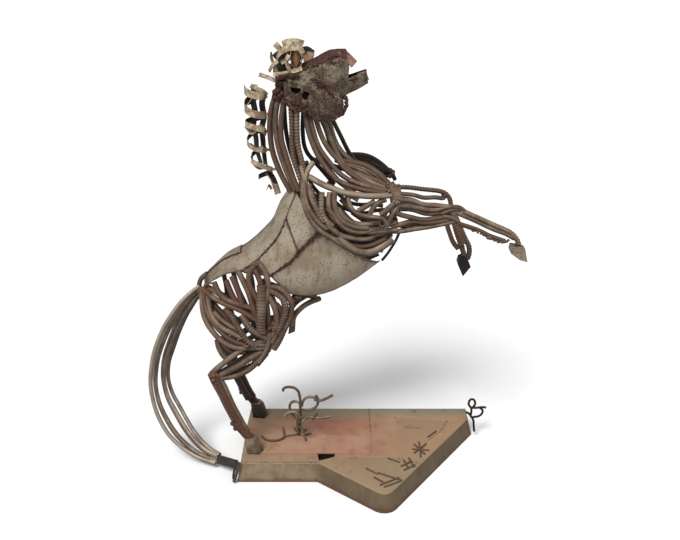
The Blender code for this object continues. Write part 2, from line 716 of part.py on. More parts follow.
GASKIN_FIRST = [(-29.5, -12.5, 37.2), (-33.6, -12, 32), (-38.2, -11, 27.2)]
GASKIN_LAST = [(-22.7, -12, 35.4), (-25.9, -11.5, 29.1), (-30.8, -11, 25.8), (-36.5, -11, 24.8)]
HIND_FIRST = [(-38, -11, 26.5), (-35.2, -11, 19.7), (-33.2, -10.5, 13.6), (-31.6, -10.5, 8.7)]
HIND_LAST = [(-33, -11, 25.4), (-31.1, -11, 18), (-29.3, -10.5, 11.5), (-27.6, -10.5, 7.6)]
PASTERN_HIND = [(-31.4, -10.5, 9.6), (-29, -10.5, 7.6), (-27.4, -10.5, 4.4)]
TAIL_FIRST = [(-42, -0.5, 49), (-49.2, -2.6, 44.2), (-53.8, -3.6, 36.5), (-57.7, -4, 24.4), (-57.6, -4, 14.3),
              (-55.2, -5, 6), (-50.6, -7, 0.4), (-45.2, -9, -2.7), (-38.3, -11.4, -4)]
TAIL_LAST = [(-41.5, 0.6, 46.6), (-47.6, 3, 37.8), (-51.8, 4, 28.8), (-54.1, 4, 20.1), (-53.5, 3, 14.2),
             (-50.2, 0, 9.1), (-45.6, -4, 2.8), (-40.3, -8, -1), (-37, -10.5, -1.6)]
TAIL_DOCK = [(-39.5, 0, 55.5), (-41.8, 0, 52.5), (-42, 0, 48.5)]


def build_chest(work):
    """Collar, bars over the breast and the big rings round the shoulder, on each side."""
    sides = (("near", near, (0.0, 0.5, 1.0), (0.0, 0.35, 0.68, 1.0)),
             ("far", far, (0.0, 1.0), (0.0, 0.6)))
    for name, side, top_shares, ring_shares in sides:
        rows = fan(side(CHEST_UPPER), side(CHEST_LOWER), top_shares, bow=1.0, rings=3)
        knot = side([(14.3, -9.6, 81.7)])[0]
        shapes = [bar(path, rings=3) for path in rows]
        shapes += [bar(side(COLLAR), thickness=HEAVY_BAR, rings=3), tie(rows, TIE_INSET),
                   lump(*knot, size=CHEST_KNOT, squash=0.6)]
        work.piece("chest_bars_" + name, "bar", shapes)
        rings = fan(side(RING_OUTER), side(RING_INNER), ring_shares, bow=0.4, rings=6)
        shapes = [bar(path, thickness=HEAVY_BAR if i == 1 else REBAR, rings=6) for i, path in enumerate(rings)]
        shapes += [tie(rings, TIE_INSET), tie(rings, 1 - TIE_INSET)]
        if name == "near":
            shapes += [bar(RING_HOOK, rings=4)] + [bar(path, rings=2) for path in SHORT_RODS]
            shapes.append(bar([(12.4, -13.6, 74.6), (12.4, -11.6, 74.6)], thickness=TUBE, rings=1))
        work.piece("shoulder_rings_" + name, "bar", shapes)
        work.piece("breast_rod_" + name, "dark bar", [bar(side(CHEST_FRONT), thickness=TAIL_BAR, rings=4)])


def build_forelegs(work):
    """The near leg reaches forward, the far one hangs from its knee."""
    rows = fan(FORE_UPPER, FORE_LOWER, (0.0, 0.5, 1.0), bow=1.2, rings=3)
    inner = [(x, y + 4, h) for x, y, h in rows[1]]
    shapes = [bar(path, rings=3) for path in rows + [inner]]
    shapes += [tie(rows + [inner], 1 - TIE_INSET), tie(rows + [inner], TIE_INSET)]
    work.piece("forearm_near", "bar", shapes)
    rows = fan(FAR_FORE_UPPER, FAR_FORE_LOWER, (0.0, 0.5, 1.0), bow=1.0, rings=4)
    work.piece("forearm_far", "bar", [bar(path, rings=4) for path in rows] + [
        tie(rows, TIE_INSET), tie(rows, 1 - TIE_INSET)])
    rows = fan(CANNON_UPPER, CANNON_LOWER, (0.0, 1.0), rings=3)
    side_rod = [(x, y - 0.9, (h + g) / 2) for (x, y, h), (_, _, g) in zip(rows[0], rows[1])]
    shapes = [bar(rows[0], thickness=HEAVY_BAR, rings=3), bar(rows[1], rings=3), bar(side_rod, rings=3),
              bar(PASTERN_FORE, thickness=FORE_PASTERN_BAR, rings=2),
              tie(rows, 1 - TIE_INSET, thickness=THIN_WELD),
              lump(31.8, -7, 75, size=KNEE_KNOT)]
    work.piece("foreleg_near", "bar", shapes)
    rows = fan(FAR_CANNON_LEFT, FAR_CANNON_RIGHT, (0.0, 1.0), rings=3)
    shapes = [bar(path, rings=3) for path in rows] + [bar(FAR_PASTERN, thickness=FAR_PASTERN_BAR, rings=2)]
    work.piece("foreleg_far", "rusty bar", shapes + [lump(32.3, 6, 73.5, size=KNEE_KNOT)])


def build_haunches(work):
    """Thighs of crossing bars, stifles, gaskins and hind cannons on both sides."""
    sides = (("near", near, (0.0, 0.5, 1.0), (0.0, 0.5), (0.0, 0.5, 1.0), (0.0, 0.5, 1.0)),
             ("far", far, (0.0, 1.0), (0.3,), (0.0, 1.0), (0.0, 1.0)))
    for name, side, outer_shares, down_shares, arc_shares, gaskin_shares in sides:
        outer = fan(side(THIGH_OUTER_FIRST), side(THIGH_OUTER_LAST), outer_shares, rings=4)
        down = fan(side(THIGH_DOWN_FIRST), side(THIGH_DOWN_LAST), down_shares, bow=0.4)
        heavy = side(THIGH_DOWN_LAST)
        shapes = [bar(path) for path in outer + down]
        shapes += [bar(heavy, thickness=HEAVY_BAR), bar(side(THIGH_BAND), thickness=HEAVY_BAR, rings=4),
                   bar(side(THIGH_CROSS), rings=3), tie(outer, TIE_INSET),
                   tie([outer[0], outer[-1], heavy], 1 - TIE_INSET, thickness=THIN_WELD)]
        work.piece("thigh_bars_" + name, "rusty bar", shapes)
        arcs = fan(side(STIFLE_FIRST), side(STIFLE_LAST), arc_shares, rings=5)
        shapes = [bar(path, rings=5) for path in arcs] + [tie(arcs, TIE_INSET), tie(arcs, 1 - TIE_INSET),
                                                          bar(side(STIFLE_ROD), rings=2)]
        shapes.append(lump(*side(STIFLE_ROD)[-1], size=STIFLE_KNOT))
        work.piece("stifle_bars_" + name, "rusty bar", shapes)
        flap = side([(-14.2, -11.6, 46), (-12.6, -11.4, 46.2), (-13, -11.4, 41), (-15, -11.6, 40.2)])
        work.piece("stifle_plate_" + name, "rusty bar", [sheet_patch(flap, LEG_SHEET, crown=0.1)], smooth=False)
        knee = side([(-25.6, -12.2, 34.4), (-20.6, -12.2, 35.4), (-20.8, -12, 33.6), (-23.8, -12, 29.7),
                     (-25.9, -12, 31.8)])
        work.piece("knee_plate_" + name, "copper plate", [sheet_patch(knee, LEG_SHEET, crown=0.4)], smooth=False)
        rows = fan(side(GASKIN_FIRST), side(GASKIN_LAST), gaskin_shares, bow=0.8, rings=3)
        shapes = [bar(path, rings=3) for path in rows] + [tie(rows, TIE_INSET)]
        shapes.append(lump(*side([(-37.6, -11, 26)])[0], size=HOCK_KNOT))
        work.piece("gaskin_bars_" + name, "bar", shapes)
        rows = fan(side(HIND_FIRST), side(HIND_LAST), (0.0, 1.0), rings=3)
        middle = [((a + p) / 2, (b + q) / 2 + (0.9 if name == "far" else -0.9), (c + r) / 2)
                  for (a, b, c), (p, q, r) in zip(*rows)]
        shapes = [bar(path, rings=3) for path in rows + [middle]]
        shapes += [tie(rows, TIE_INSET), tie(rows, 1 - 2 * TIE_INSET, thickness=FETLOCK_WELD),
                   bar(side(PASTERN_HIND), thickness=HIND_PASTERN_BAR, rings=2)]
        work.piece("hind_cannon_" + name, "rusty bar", shapes)


def build_tail(work):
    """Five round bars that sweep back and down to the plinth's corner."""
    rows = fan(TAIL_FIRST, TAIL_LAST, (0.0, 0.26, 0.5, 0.76, 1.0), rings=8)
    corner = PLINTH_BACK - LEFT_LENGTH
    shapes = [bar(path, thickness=TAIL_BAR, rings=8) for path in rows]
    shapes += [tie(rows, TIE_INSET / 2, thickness=DOCK_WELD),
               tie(rows, 1 - TIE_INSET / 2, thickness=TAIL_END_WELD),
               strip(TAIL_DOCK, DOCK_WIDTH, DOCK_SHEET, rings=3)]
    work.piece("tail", "tail bar", shapes)
    lug = [rows[2][8], by_plinth((PLINTH_LEFT - FLARE, corner), 0, 1.0, -1.4)]
    work.piece("tail_lug", "dark bar", [strip(lug, LUG_WIDTH, LUG_SHEET, across=(0, 0.3, 1), rings=2)])


NOSE_RIDGE = [(-10.6, 0, 115.2), (-6.7, 0, 117.1), (-3.5, 0, 118.7), (-0.5, 0, 119.3), (1.4, 0, 119.3)]
LIP = [(1.2, 0, 119.6), (3.9, 0, 116.2)]
FACE = [(-14.6, -4.2, 112.6), (-10.7, -3.3, 114.4), (-2.7, -2.9, 117.4), (1.3, -2.9, 116.6), (2.7, -3, 113.8),
        (1.6, -3.6, 111.4), (-1.2, -5.4, 109.2), (-5, -6, 109.4), (-8, -6, 110.2), (-12.4, -5.2, 110.6)]
CHEEK_CENTRE = (-4, -6, 105.7)
CHEEK_RADIUS = 4.8
CHEEK_CROWN = 1.2
TEMPLE = [(-14.6, -4.8, 111.6), (-12, -5.3, 111), (-8.6, -6, 110.4), (-7, -6.2, 108.4), (-8, -6.2, 104.8),
          (-10.6, -5.6, 103.8), (-13.4, -5.1, 105.4), (-15.2, -4.7, 108.6)]
TEMPLE_HOLES = [(-11.8, 110, 1.4), (-9.1, 108.4, 1.1)]
TEMPLE_DRILL = 4.0
JAW_SIDE = [(-0.4, -5.2, 110.6), (1.8, -3.2, 111.9), (4.6, -2.2, 112.9), (7, -2.2, 113.8), (7.8, -2.2, 111.9),
            (6.2, -2.2, 109.9), (2.7, -2.9, 108.3), (-0.2, -5.2, 107.2)]
JAW_FLOOR = [(0.6, 0, 107.7), (3.2, 0, 108.6), (6.4, 0, 110.1)]
CHIN = [(5.1, 0, 113.9), (7.9, 0, 113.5)]
THROAT = [(-9.8, 0, 103), (-5.6, 0, 101.9), (-1.4, 0, 102.3)]
EAR_LOOP = [(-11.5, 114.4), (-13.1, 116.4), (-13, 119), (-11.9, 121.2), (-10.5, 119.2), (-10.3, 116.4), (-11.3, 114.4)]
FORELOCK = [[(-17.4, 0.4, 116.6), (-17.2, 0, 118.2), (-15.3, 0, 119.5), (-12.9, 0.2, 120.1)],
            [(-15.9, 0.3, 118.6), (-15.5, 0.2, 121), (-13.4, 0.2, 122), (-11.2, 0, 122), (-9.6, 0.2, 120.6)],
            [(-16, -0.4, 113.4), (-17.2, 0.2, 115.4), (-16.8, 0.6, 117.6), (-14.8, 0.4, 118), (-13.4, -0.2, 116.6),
             (-14, -0.6, 113.8)],
            [(-17.8, 0.6, 121.3), (-16.6, 0.4, 119.6), (-15.6, 0.2, 118.4)]]
# Knots of weld behind the cheeks: place, size, and how much wider each is than high.
POLL = [(-15.8, 111.4, 4.0, 2.2), (-16.8, 107.6, 4.4, 1.5), (-13.4, 105.4, 3.8, 3.0)]

MANE_TURNS = 5
MANE_STEPS = 6
MANE_AXIS = [(-23.2, 0, 109), (-23.3, 0, 103), (-23.3, 0, 97), (-22.9, 0, 90.5), (-20.7, 0, 83.8)]
MANE_RADIUS = [(2.9,), (2.9,), (2.7,), (2.5,), (2.3,)]
MANE_END = [(-20.2, 0.8, 85), (-19, -0.6, 83.6), (-17.9, -2, 81.4), (-17.4, -2.4, 79)]


def plate(corners, thickness, name, crown=0.0):
    """A plate's shape on the near or the far side of the head."""
    return sheet_patch(near(corners) if name == "near" else far(corners), thickness, crown=crown)


def build_head(work):
    """Plates welded up into a hollow head, with the ears and the forelock on top."""
    ridge = [(x, 2.9, h - 0.9) for x, _, h in NOSE_RIDGE]
    work.piece("nose_bridge", "head plate", [strip(NOSE_RIDGE, NOSE_WIDTH, HEAD_SHEET),
                                             strip(ridge, NOSE_SIDE, HEAD_SHEET, across=(0, 0, 1)),
                                             strip(far(ridge), NOSE_SIDE, HEAD_SHEET, across=(0, 0, 1))])
    work.piece("lip_plate", "copper plate", [strip(LIP, LIP_WIDTH, HEAD_SHEET, rings=1)], smooth=False)
    work.piece("throat_plate", "head weld", [strip(THROAT, THROAT_WIDTH, HEAD_SHEET, rings=2)], smooth=False)
    for side in ("near", "far"):
        sign = NEAR if side == "near" else FAR
        x, y, h = CHEEK_CENTRE
        work.piece("cheek_plate_" + side, "head plate", [
            plate(disc(x, y, h, CHEEK_RADIUS), HEAD_SHEET, side, crown=CHEEK_CROWN)])
        work.piece("face_plate_" + side, "head plate", [
            plate(FACE, HEAD_SHEET, side, crown=0.3), lump(-5.2, sign * 5.3, 111.2, size=BROW_KNOT, squash=0.7)])
        holes = [plate(disc(hx, -5.4, hh, radius, 8), TEMPLE_DRILL, side) for hx, hh, radius in TEMPLE_HOLES]
        work.piece("temple_plate_" + side, "head weld", [plate(TEMPLE, HEAD_SHEET, side, crown=0.3)], cuts=holes)
    work.piece("lower_jaw", "head plate", [
        plate(JAW_SIDE, HEAD_SHEET, "near"), plate(JAW_SIDE, HEAD_SHEET, "far"),
        strip(JAW_FLOOR, JAW_WIDTH, HEAD_SHEET, rings=2)], smooth=False)
    work.piece("chin_plate", "copper plate", [strip(CHIN, CHIN_WIDTH, HEAD_SHEET, rings=1)], smooth=False)
    lumps = [lump(x, 0, h, size=size, squash=squash) for x, h, size, squash in POLL]
    spine = bar([(x, 0, h) for x, h, _, _ in POLL], thickness=SPINE_BAR, rings=2)
    work.piece("poll_weld", "head weld", lumps + [spine])


def build_hair(work):
    """Ears and forelock of bent strip, and a mane coiled from one long strip."""
    for name, y in (("ear_near", -3.0), ("ear_far", 3.0)):
        loop = [(x, y, h) for x, h in EAR_LOOP]
        middle = [(x * 0.8 - 11.8 * 0.2, y + 0.3, h * 0.8 + 117.6 * 0.2) for x, h in EAR_LOOP[:-1]]
        work.piece(name, "mane strip", [strip(loop, EAR_WIDTH, MANE_SHEET, rings=12),
                                        sheet_patch(middle, EAR_SHEET, crown=0.2)])
    curls = [strip(path, CURL_WIDTH, MANE_SHEET, rings=2 * len(path) - 2) for path in FORELOCK]
    work.piece("forelock", "mane strip", curls)
    steps = MANE_TURNS * MANE_STEPS
    coil = []
    for i in range(steps + 1):
        x, y, h = along(MANE_AXIS, i / steps)
        radius = along(MANE_RADIUS, i / steps)[0]
        angle = -2 * math.pi * i / MANE_STEPS
        coil.append((x - radius * math.cos(angle), y + radius * math.sin(angle), h))
    touches = [coil[i] for i in range(MANE_STEPS // 2, steps, MANE_STEPS)]
    welds = [bar([(x - 0.2, y, h), (x + 1.0, y, h)], thickness=MANE_WELD, rings=1, sides=TIE_SIDES)
             for x, y, h in touches]
    work.piece("mane_coil", "mane strip", [strip(coil, MANE_WIDTH, MANE_SHEET, across=(0, 0, 1), rings=steps),
                                           strip(MANE_END, MANE_WIDTH, MANE_SHEET, rings=3)] + welds)


SCROLLS = [[(-17.5, -3, 16.9), (-15.4, -3, 17.8), (-13.2, -3, 16.9), (-12.3, -3, 14.8), (-12.2, -3, 11.4),
            (-12.4, -2.5, 6), (-12.8, -2, -0.4)],
           [(-11.9, -2.6, 10.6), (-10.9, -2, 13.2), (-8.9, -2, 13.9), (-6.9, -2, 12.9), (-7.3, -2, 10.6),
            (-9.3, -2, 9.3), (-12, -2.4, 9.5)],
           [(-7.4, -2, 13.2), (-5.2, -2, 12.9), (-2.2, -2, 14.5)],
           [(-12.2, -2.8, 12.2), (-14.6, -1.6, 11.9), (-15.6, -1.2, 9.6), (-14.4, -1.6, 6.6), (-12.4, -2.6, 5.2)],
           [(-2.8, -5, 8.7), (-8.4, -4.4, 8), (-12.4, -2.6, 7)],
           [(-9.6, -4.4, 8.2), (-9, -6, 6.4), (-10, -6, 3.6), (-12.2, -3, 3.4)],
           [(-17.4, -3, 7.6), (-16.4, -3, 8.8), (-14.3, -3, 9), (-12.5, -2.7, 7.6)],
           [(-24.6, -3, 0.4), (-22.6, -5.6, 0.4), (-19.4, -5.2, 0.5), (-17.2, -2.6, 0.5), (-12.8, -2, 0.6)],
           [(-12.8, -2, 0.6), (-11.2, -3.4, 0.5), (-9.2, -1.2, 0.4)],
           [(-12.8, -2, 0.5), (-14.6, 0.6, 0.4)]]
# Drawn from the plinth's right end corner, and from its front left corner.
CORNER_SCROLLS = [[(-1, -1.2, 3), (0.5, -1.2, 1.9), (1.6, -1.2, 0.4), (1.8, -1.2, -2), (2.1, -1.2, -4)],
                  [(0.7, -1.2, 1.6), (0.9, -0.4, 4.2), (-0.1, -0.4, 5.6), (1, -0.4, 7.3), (2, -0.4, 5.7),
                   (1.2, -0.4, 3.9)],
                  [(0.9, -0.4, 4.2), (3.3, -0.6, 4.3), (5.6, -0.6, 4.3)],
                  [(3.5, -0.6, 4.3), (4.5, -0.6, 3), (3.9, -0.6, 1.4), (2.7, -0.8, 1.2), (1.5, -1, 1.1)]]
CORNER_BAR = [(-0.9, -1.0, 0.3), (-2.3, -2.2, -5.3)]
CORNER_WELD = (-0.8, -0.8, -0.8)


def build_scrolls(work):
    """Bent rods that curl up beside the hooves and at the plinth's far corner."""
    def rod(path):
        return bar(path, thickness=SCROLL_BAR, rings=max(2, len(path)), sides=TIE_SIDES)

    _, front_left, _, _, right_end, _ = plinth_corners()
    work.piece("scroll_rods", "bar", [rod(path) for path in SCROLLS])
    work.piece("corner_scroll", "dark bar", [rod([by_plinth(right_end, *point) for point in path])
                                             for path in CORNER_SCROLLS])
    corner_bar = [by_plinth(front_left, *point) for point in CORNER_BAR]
    weld = by_plinth(front_left, *CORNER_WELD)
    work.piece("plinth_corner_bar", "dark bar", [bar(corner_bar, thickness=SCROLL_BAR, rings=1),
                                                 lump(*weld, size=CORNER_KNOT)])


def centre_on_floor(work):
    """Move the pieces so that the origin is under the middle of the work."""
    boxes = [box_of(thing) for thing in work.pieces]
    low = [min(box[0][i] for box in boxes) for i in range(3)]
    high = [max(box[1][i] for box in boxes) for i in range(3)]
    for thing in work.pieces:
        thing.location = (-(low[0] + high[0]) / 2, -(low[1] + high[1]) / 2, -low[2])


def build_all():
    """Make every piece."""
    clear_scene()
    work = Work()
    build_plinth(work)
    build_hooves(work)
    build_body(work)
    build_neck(work)
    build_chest(work)
    build_forelegs(work)
    build_haunches(work)
    build_tail(work)
    build_head(work)
    build_hair(work)
    build_scrolls(work)
    centre_on_floor(work)
    return work


build_all()
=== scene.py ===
# %% [markdown]
# # A rearing horse of welded bar, strip and sheet
# The real work is scrap steel: ribbed reinforcing bar, plain round bar, flat strip and sheet, bent
# cold and welded up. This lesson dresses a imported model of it. First come the frame and the camera,
# because every bar is placed along a line of sight of that camera. Then come the finishes, the bars,
# the sheets, the head, the hair and the plinth.

# %% Load the fixed frame
import math
import random

import bpy
from mathutils import Matrix, Vector, noise


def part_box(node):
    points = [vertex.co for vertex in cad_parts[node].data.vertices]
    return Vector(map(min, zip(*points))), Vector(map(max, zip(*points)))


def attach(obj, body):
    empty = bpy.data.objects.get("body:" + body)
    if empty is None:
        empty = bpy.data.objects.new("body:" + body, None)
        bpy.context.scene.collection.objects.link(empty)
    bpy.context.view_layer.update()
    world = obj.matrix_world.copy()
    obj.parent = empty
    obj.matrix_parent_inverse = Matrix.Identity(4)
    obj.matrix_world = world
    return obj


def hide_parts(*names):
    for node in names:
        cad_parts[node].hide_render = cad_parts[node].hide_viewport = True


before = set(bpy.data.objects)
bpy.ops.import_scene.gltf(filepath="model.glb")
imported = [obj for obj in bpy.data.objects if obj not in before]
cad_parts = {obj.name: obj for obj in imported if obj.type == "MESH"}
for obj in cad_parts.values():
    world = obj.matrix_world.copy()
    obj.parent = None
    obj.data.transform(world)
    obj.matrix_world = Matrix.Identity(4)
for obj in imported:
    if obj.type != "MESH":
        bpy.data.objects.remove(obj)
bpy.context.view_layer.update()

print("nodes in the frame:", len(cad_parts))

# %% [markdown]
# ## Where things are
# The figure was drawn in centimetres above the plinth's top, with x ahead, y away from the viewer
# and h up. The plinth's band tells where that drawing sits in the frame, so one function turns
# drawn centimetres into metres. Working from the band, rather than from typed positions, keeps the
# looks in place if the frame's origin ever moves.

# %% Figure units
CM = 0.01
PLINTH_HEIGHT = 0.060
band_low, band_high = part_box("plinth_side_band")
FIGURE = Vector((band_low.x + 0.310, band_high.y - 0.158, 0.0))


def at(x, y, h):
    """A drawn place, in centimetres, as metres in the frame."""
    return FIGURE + Vector((x * CM, y * CM, PLINTH_HEIGHT + h * CM))


print("the figure's zero point is at", tuple(round(c, 4) for c in FIGURE))

# %% [markdown]
# ## The camera
# The photograph was taken from the horse's right, looking down at about 22 degrees. The picture is
# 680 by 540, and a focal length of 911 of its pixels fits the plinth's corners. The same numbers
# give the function that places most bars: it follows the line of sight through a pixel until it
# crosses the plane at a chosen depth. A bar then lies where it is seen, at the depth that its
# neighbours allow.

# %% Camera and lines of sight
PICTURE_WIDE, PICTURE_HIGH = 680, 540
FOCAL_PIXELS = 911.0
LOOK_DOWN = math.radians(22.0)
EYE = FIGURE + Vector((0.0, -2.4913, 1.6216))
SENSOR_MM = 36.0


def seen(u, v, y):
    """Where the line of sight through pixel (u, v) crosses the plane y cm from the figure's middle."""
    across = (u - PICTURE_WIDE / 2) / FOCAL_PIXELS
    up = (PICTURE_HIGH / 2 - v) / FOCAL_PIXELS
    line = Vector((across, math.cos(LOOK_DOWN) + up * math.sin(LOOK_DOWN),
                   up * math.cos(LOOK_DOWN) - math.sin(LOOK_DOWN)))
    return EYE + line * ((FIGURE.y + y * CM - EYE.y) / line.y)


bpy.ops.object.camera_add(location=EYE, rotation=(math.pi / 2 - LOOK_DOWN, 0, 0))
camera = bpy.context.object
camera.data.sensor_width = SENSOR_MM
camera.data.lens = SENSOR_MM * FOCAL_PIXELS / PICTURE_WIDE
bpy.context.scene.camera = camera
print("lens", round(camera.data.lens, 1), "mm")

# %% [markdown]
# ## Shader sums
# A weathered finish is mostly sums on masks: spots times wear, one minus dirt. Written node by
# node that is hard to read, so one small class lets a socket be added and multiplied like a
# number, and one method makes any node from its type, its settings and what goes into it.

# %% Sums on sockets
class Mask:
    """One output of a node, which sums like a number."""

    def __init__(self, finish, socket):
        self.finish, self.socket = finish, socket

    def sum(self, operation, first, second=0.0):
        return self.finish.node("ShaderNodeMath", {"operation": operation}, {0: first, 1: second})

    def __add__(self, other):
        return self.sum("ADD", self, other)

    def __sub__(self, other):
        return self.sum("SUBTRACT", self, other)

    def __rsub__(self, other):
        return self.sum("SUBTRACT", other, self)

    def __mul__(self, other):
        return self.sum("MULTIPLY", self, other)

    __radd__, __rmul__ = __add__, __mul__

    def steps(self, low, high):
        """0 below low, 1 above high, and smooth between."""
        return self.finish.node("ShaderNodeMapRange", {"interpolation_type": "SMOOTHSTEP"},
                                {"Value": self, "From Min": low, "From Max": high})


DULL = 0.2
SHEEN = 0.5


class Finish:
    """A material, duller than clean steel, and the tools to build its nodes."""

    def __init__(self, name, metal=0.3, gloss=DULL):
        self.material = bpy.data.materials.new(name)
        self.material.use_nodes = True
        self.tree = self.material.node_tree
        self.shader = self.tree.nodes["Principled BSDF"]
        self.shader.inputs["Metallic"].default_value = metal
        self.shader.inputs["Specular IOR Level"].default_value = gloss
        self.place = self.node("ShaderNodeTexCoord", {}, {}, "Object")
        self.facing = self.node("ShaderNodeTexCoord", {}, {}, "Normal")

    def node(self, kind, settings, inputs, output=0):
        made = self.tree.nodes.new(kind)
        for key, value in settings.items():
            setattr(made, key, value)
        for key, value in inputs.items():
            self.feed(made.inputs[key], value)
        return Mask(self, made.outputs[output])

    def feed(self, socket, value):
        if isinstance(value, Mask):
            self.tree.links.new(value.socket, socket)
        else:
            socket.default_value = value

    def noise(self, scale, detail=3.0, rough=0.55, place=None):
        return self.node("ShaderNodeTexNoise", {}, {"Vector": place or self.place, "Scale": scale,
                                                    "Detail": detail, "Roughness": rough})

    def stretched(self, x, y, z):
        return self.node("ShaderNodeMapping", {}, {"Vector": self.place, "Scale": (x, y, z)})

    def specks(self, scale):
        return self.node("ShaderNodeTexVoronoi", {}, {"Vector": self.place, "Scale": scale}, "Distance")

    def blend(self, factor, first, second):
        """first where factor is 0, second where it is 1; colours only."""
        made = self.tree.nodes.new("ShaderNodeMix")
        made.data_type = "RGBA"
        self.feed(made.inputs[0], factor)
        for key, value in ((6, first), (7, second)):
            self.feed(made.inputs[key], value if isinstance(value, Mask) else (*value, 1.0))
        return Mask(self, made.outputs[2])

    def attribute(self, name):
        return self.node("ShaderNodeAttribute", {"attribute_name": name}, {}, "Fac")

    def split(self, vector, axis):
        return self.node("ShaderNodeSeparateXYZ", {}, {0: vector}, axis)

    def finish(self, colour, rough, bumps, depth):
        self.feed(self.shader.inputs["Base Color"], colour)
        self.feed(self.shader.inputs["Roughness"], rough)
        bump = self.node("ShaderNodeBump", {}, {"Height": bumps, "Distance": depth, "Strength": 0.8})
        self.feed(self.shader.inputs["Normal"], bump)
        return self.material


print("sums on sockets are ready")

# %% [markdown]
# ## The steel of the bars
# Outdoors, the faces that meet the weather turned taupe, with red rust in patches. Inside the figure
# the bars lie in shade, and that shade is painted: the finish asks which side of the figure a face is
# on and which way it looks, and a face that looks inwards is painted nearly black. Faces that look
# down get painted shade as well. Each bar also carries two numbers of its own, its tone and its rust,
# because no two pieces of scrap look alike; a bar with the tone IN_SHADOW is painted dark brown as
# shade.

# %% Bar finishes
# Near black: fine specks of scale, and the painted shade inside the figure and under the bars.
SCALE_AND_SHADE = (0.014, 0.011, 0.010)
MIDDLE_BAND = 0.012


def inward_shade(f, start=0.1, end=0.75):
    """1 on faces that look towards the figure's middle plane, where shade is painted."""
    side = (f.split(f.place, "Y") - FIGURE.y).steps(-MIDDLE_BAND, MIDDLE_BAND) * 2.0 - 1.0
    look = f.split(f.facing, "Y")
    return (side * (look * -1.0)).steps(start, end)


def shade_below(f, low=-0.75, high=0.45):
    """1 on faces that look down, where shade is painted."""
    return 1.0 - f.split(f.facing, "Z").steps(low, high)


def bar_steel(name, light, brown, red, metal=0.3, inward_shade_amount=0.85, below_shade_amount=0.85):
    f = Finish(name, metal)
    broad, fine = f.noise(26.0), f.noise(240.0, 4.0, 0.65)
    tone, rust = f.attribute("tone"), f.attribute("rust")
    colour = f.blend((broad * 0.8 + fine * 0.4 - tone * 0.45).steps(0.25, 0.72), light, brown)
    colour = f.blend((f.noise(17.0, 4.0) + rust * 0.22).steps(0.58, 0.80) * 0.8, colour, red)
    colour = f.blend(f.noise(420.0, 2.0).steps(0.58, 0.72) * 0.6, colour, SCALE_AND_SHADE)
    # Painted shade: faces that look down, and faces that look inwards, are darkened nearly to black.
    colour = f.blend(shade_below(f) * below_shade_amount, colour, SCALE_AND_SHADE)
    colour = f.blend(inward_shade(f) * inward_shade_amount, colour, SCALE_AND_SHADE)
    rough = 0.42 + broad * 0.22 + rust * 0.14
    return f.finish(colour, rough, fine + f.noise(900.0, 2.0) * 0.5, 0.0007)


TAUPE = (0.285, 0.215, 0.155)
BROWN = (0.120, 0.077, 0.051)
RED_RUST = (0.140, 0.064, 0.042)
bar_finish = bar_steel("bar steel", TAUPE, BROWN, RED_RUST)
rusty_finish = bar_steel("rusty bar steel", (0.215, 0.155, 0.110), (0.110, 0.064, 0.043),
                         (0.115, 0.045, 0.030))
# Near-black steel; on the breast rods and the throat plate this darkness is painted shade.
black_and_shade_finish = bar_steel("black bar steel", (0.075, 0.060, 0.050), (0.035, 0.027, 0.023),
                        (0.075, 0.035, 0.024))
tail_finish = bar_steel("tail bar steel", (0.360, 0.290, 0.228), (0.150, 0.112, 0.082), (0.140, 0.085, 0.060),
                        metal=0.5, inward_shade_amount=0.3)
open_finish = bar_steel("far foreleg steel", (0.230, 0.160, 0.110), BROWN, (0.150, 0.066, 0.040), inward_shade_amount=0.1)
print("bar finishes:", len(bpy.data.materials))

# %% [markdown]
# ## Sheet, strip and plate
# The body's sheets are the palest metal, grey-beige and nearly smooth, with pits where rust began
# and a brown edge along every weld. The head's plates are pitted all over and grow maroon near the
# welds. Faces of sheet and plate that look down, and faces that look inwards, are painted darker as
# shade. The strips of the mane are bare and cream outside, and the hollow of each curl is painted
# dark as shade. The plinth's top is orange and pink with rust bloom, and its sides are olive brown,
# rusty at the foot.

# %% Sheet and plate finishes
def sheet_steel(name, pale, warm, pit_and_shade, metal=0.2, pitted=0.42):
    f = Finish(name, metal)
    broad, streak = f.noise(11.0, 5.0), f.noise(38.0, 5.0, 0.65, f.stretched(1.0, 1.0, 0.4))
    fine, edge = f.noise(170.0, 4.0, 0.65), f.attribute("edge")
    colour = f.blend((broad * 0.7 + streak * 0.5).steps(0.45, 0.75), pale, warm)
    colour = f.blend((streak * 0.7 + fine * 0.5).steps(0.62, 0.80) * 0.55, colour, pit_and_shade)
    pits = (1.0 - f.specks(135.0)).steps(0.68, 0.86) * f.noise(24.0, 3.0).steps(pitted, pitted + 0.14)
    colour = f.blend(pits * 0.9, colour, pit_and_shade)
    colour = f.blend((edge + f.noise(70.0, 4.0) * 1.2 - 0.60).steps(0.10, 0.75) * 0.9, colour, pit_and_shade)
    # Painted shade: darker on faces that look down and on faces that look inwards.
    colour = f.blend(shade_below(f, -0.9, 0.0) * 0.45, colour, pit_and_shade)
    colour = f.blend(inward_shade(f) * 0.9, colour, SCALE_AND_SHADE)
    return f.finish(colour, 0.50 + broad * 0.2, f.noise(14.0, 2.0) * 2.0 + fine * 0.3 - pits * 0.6, 0.0012)


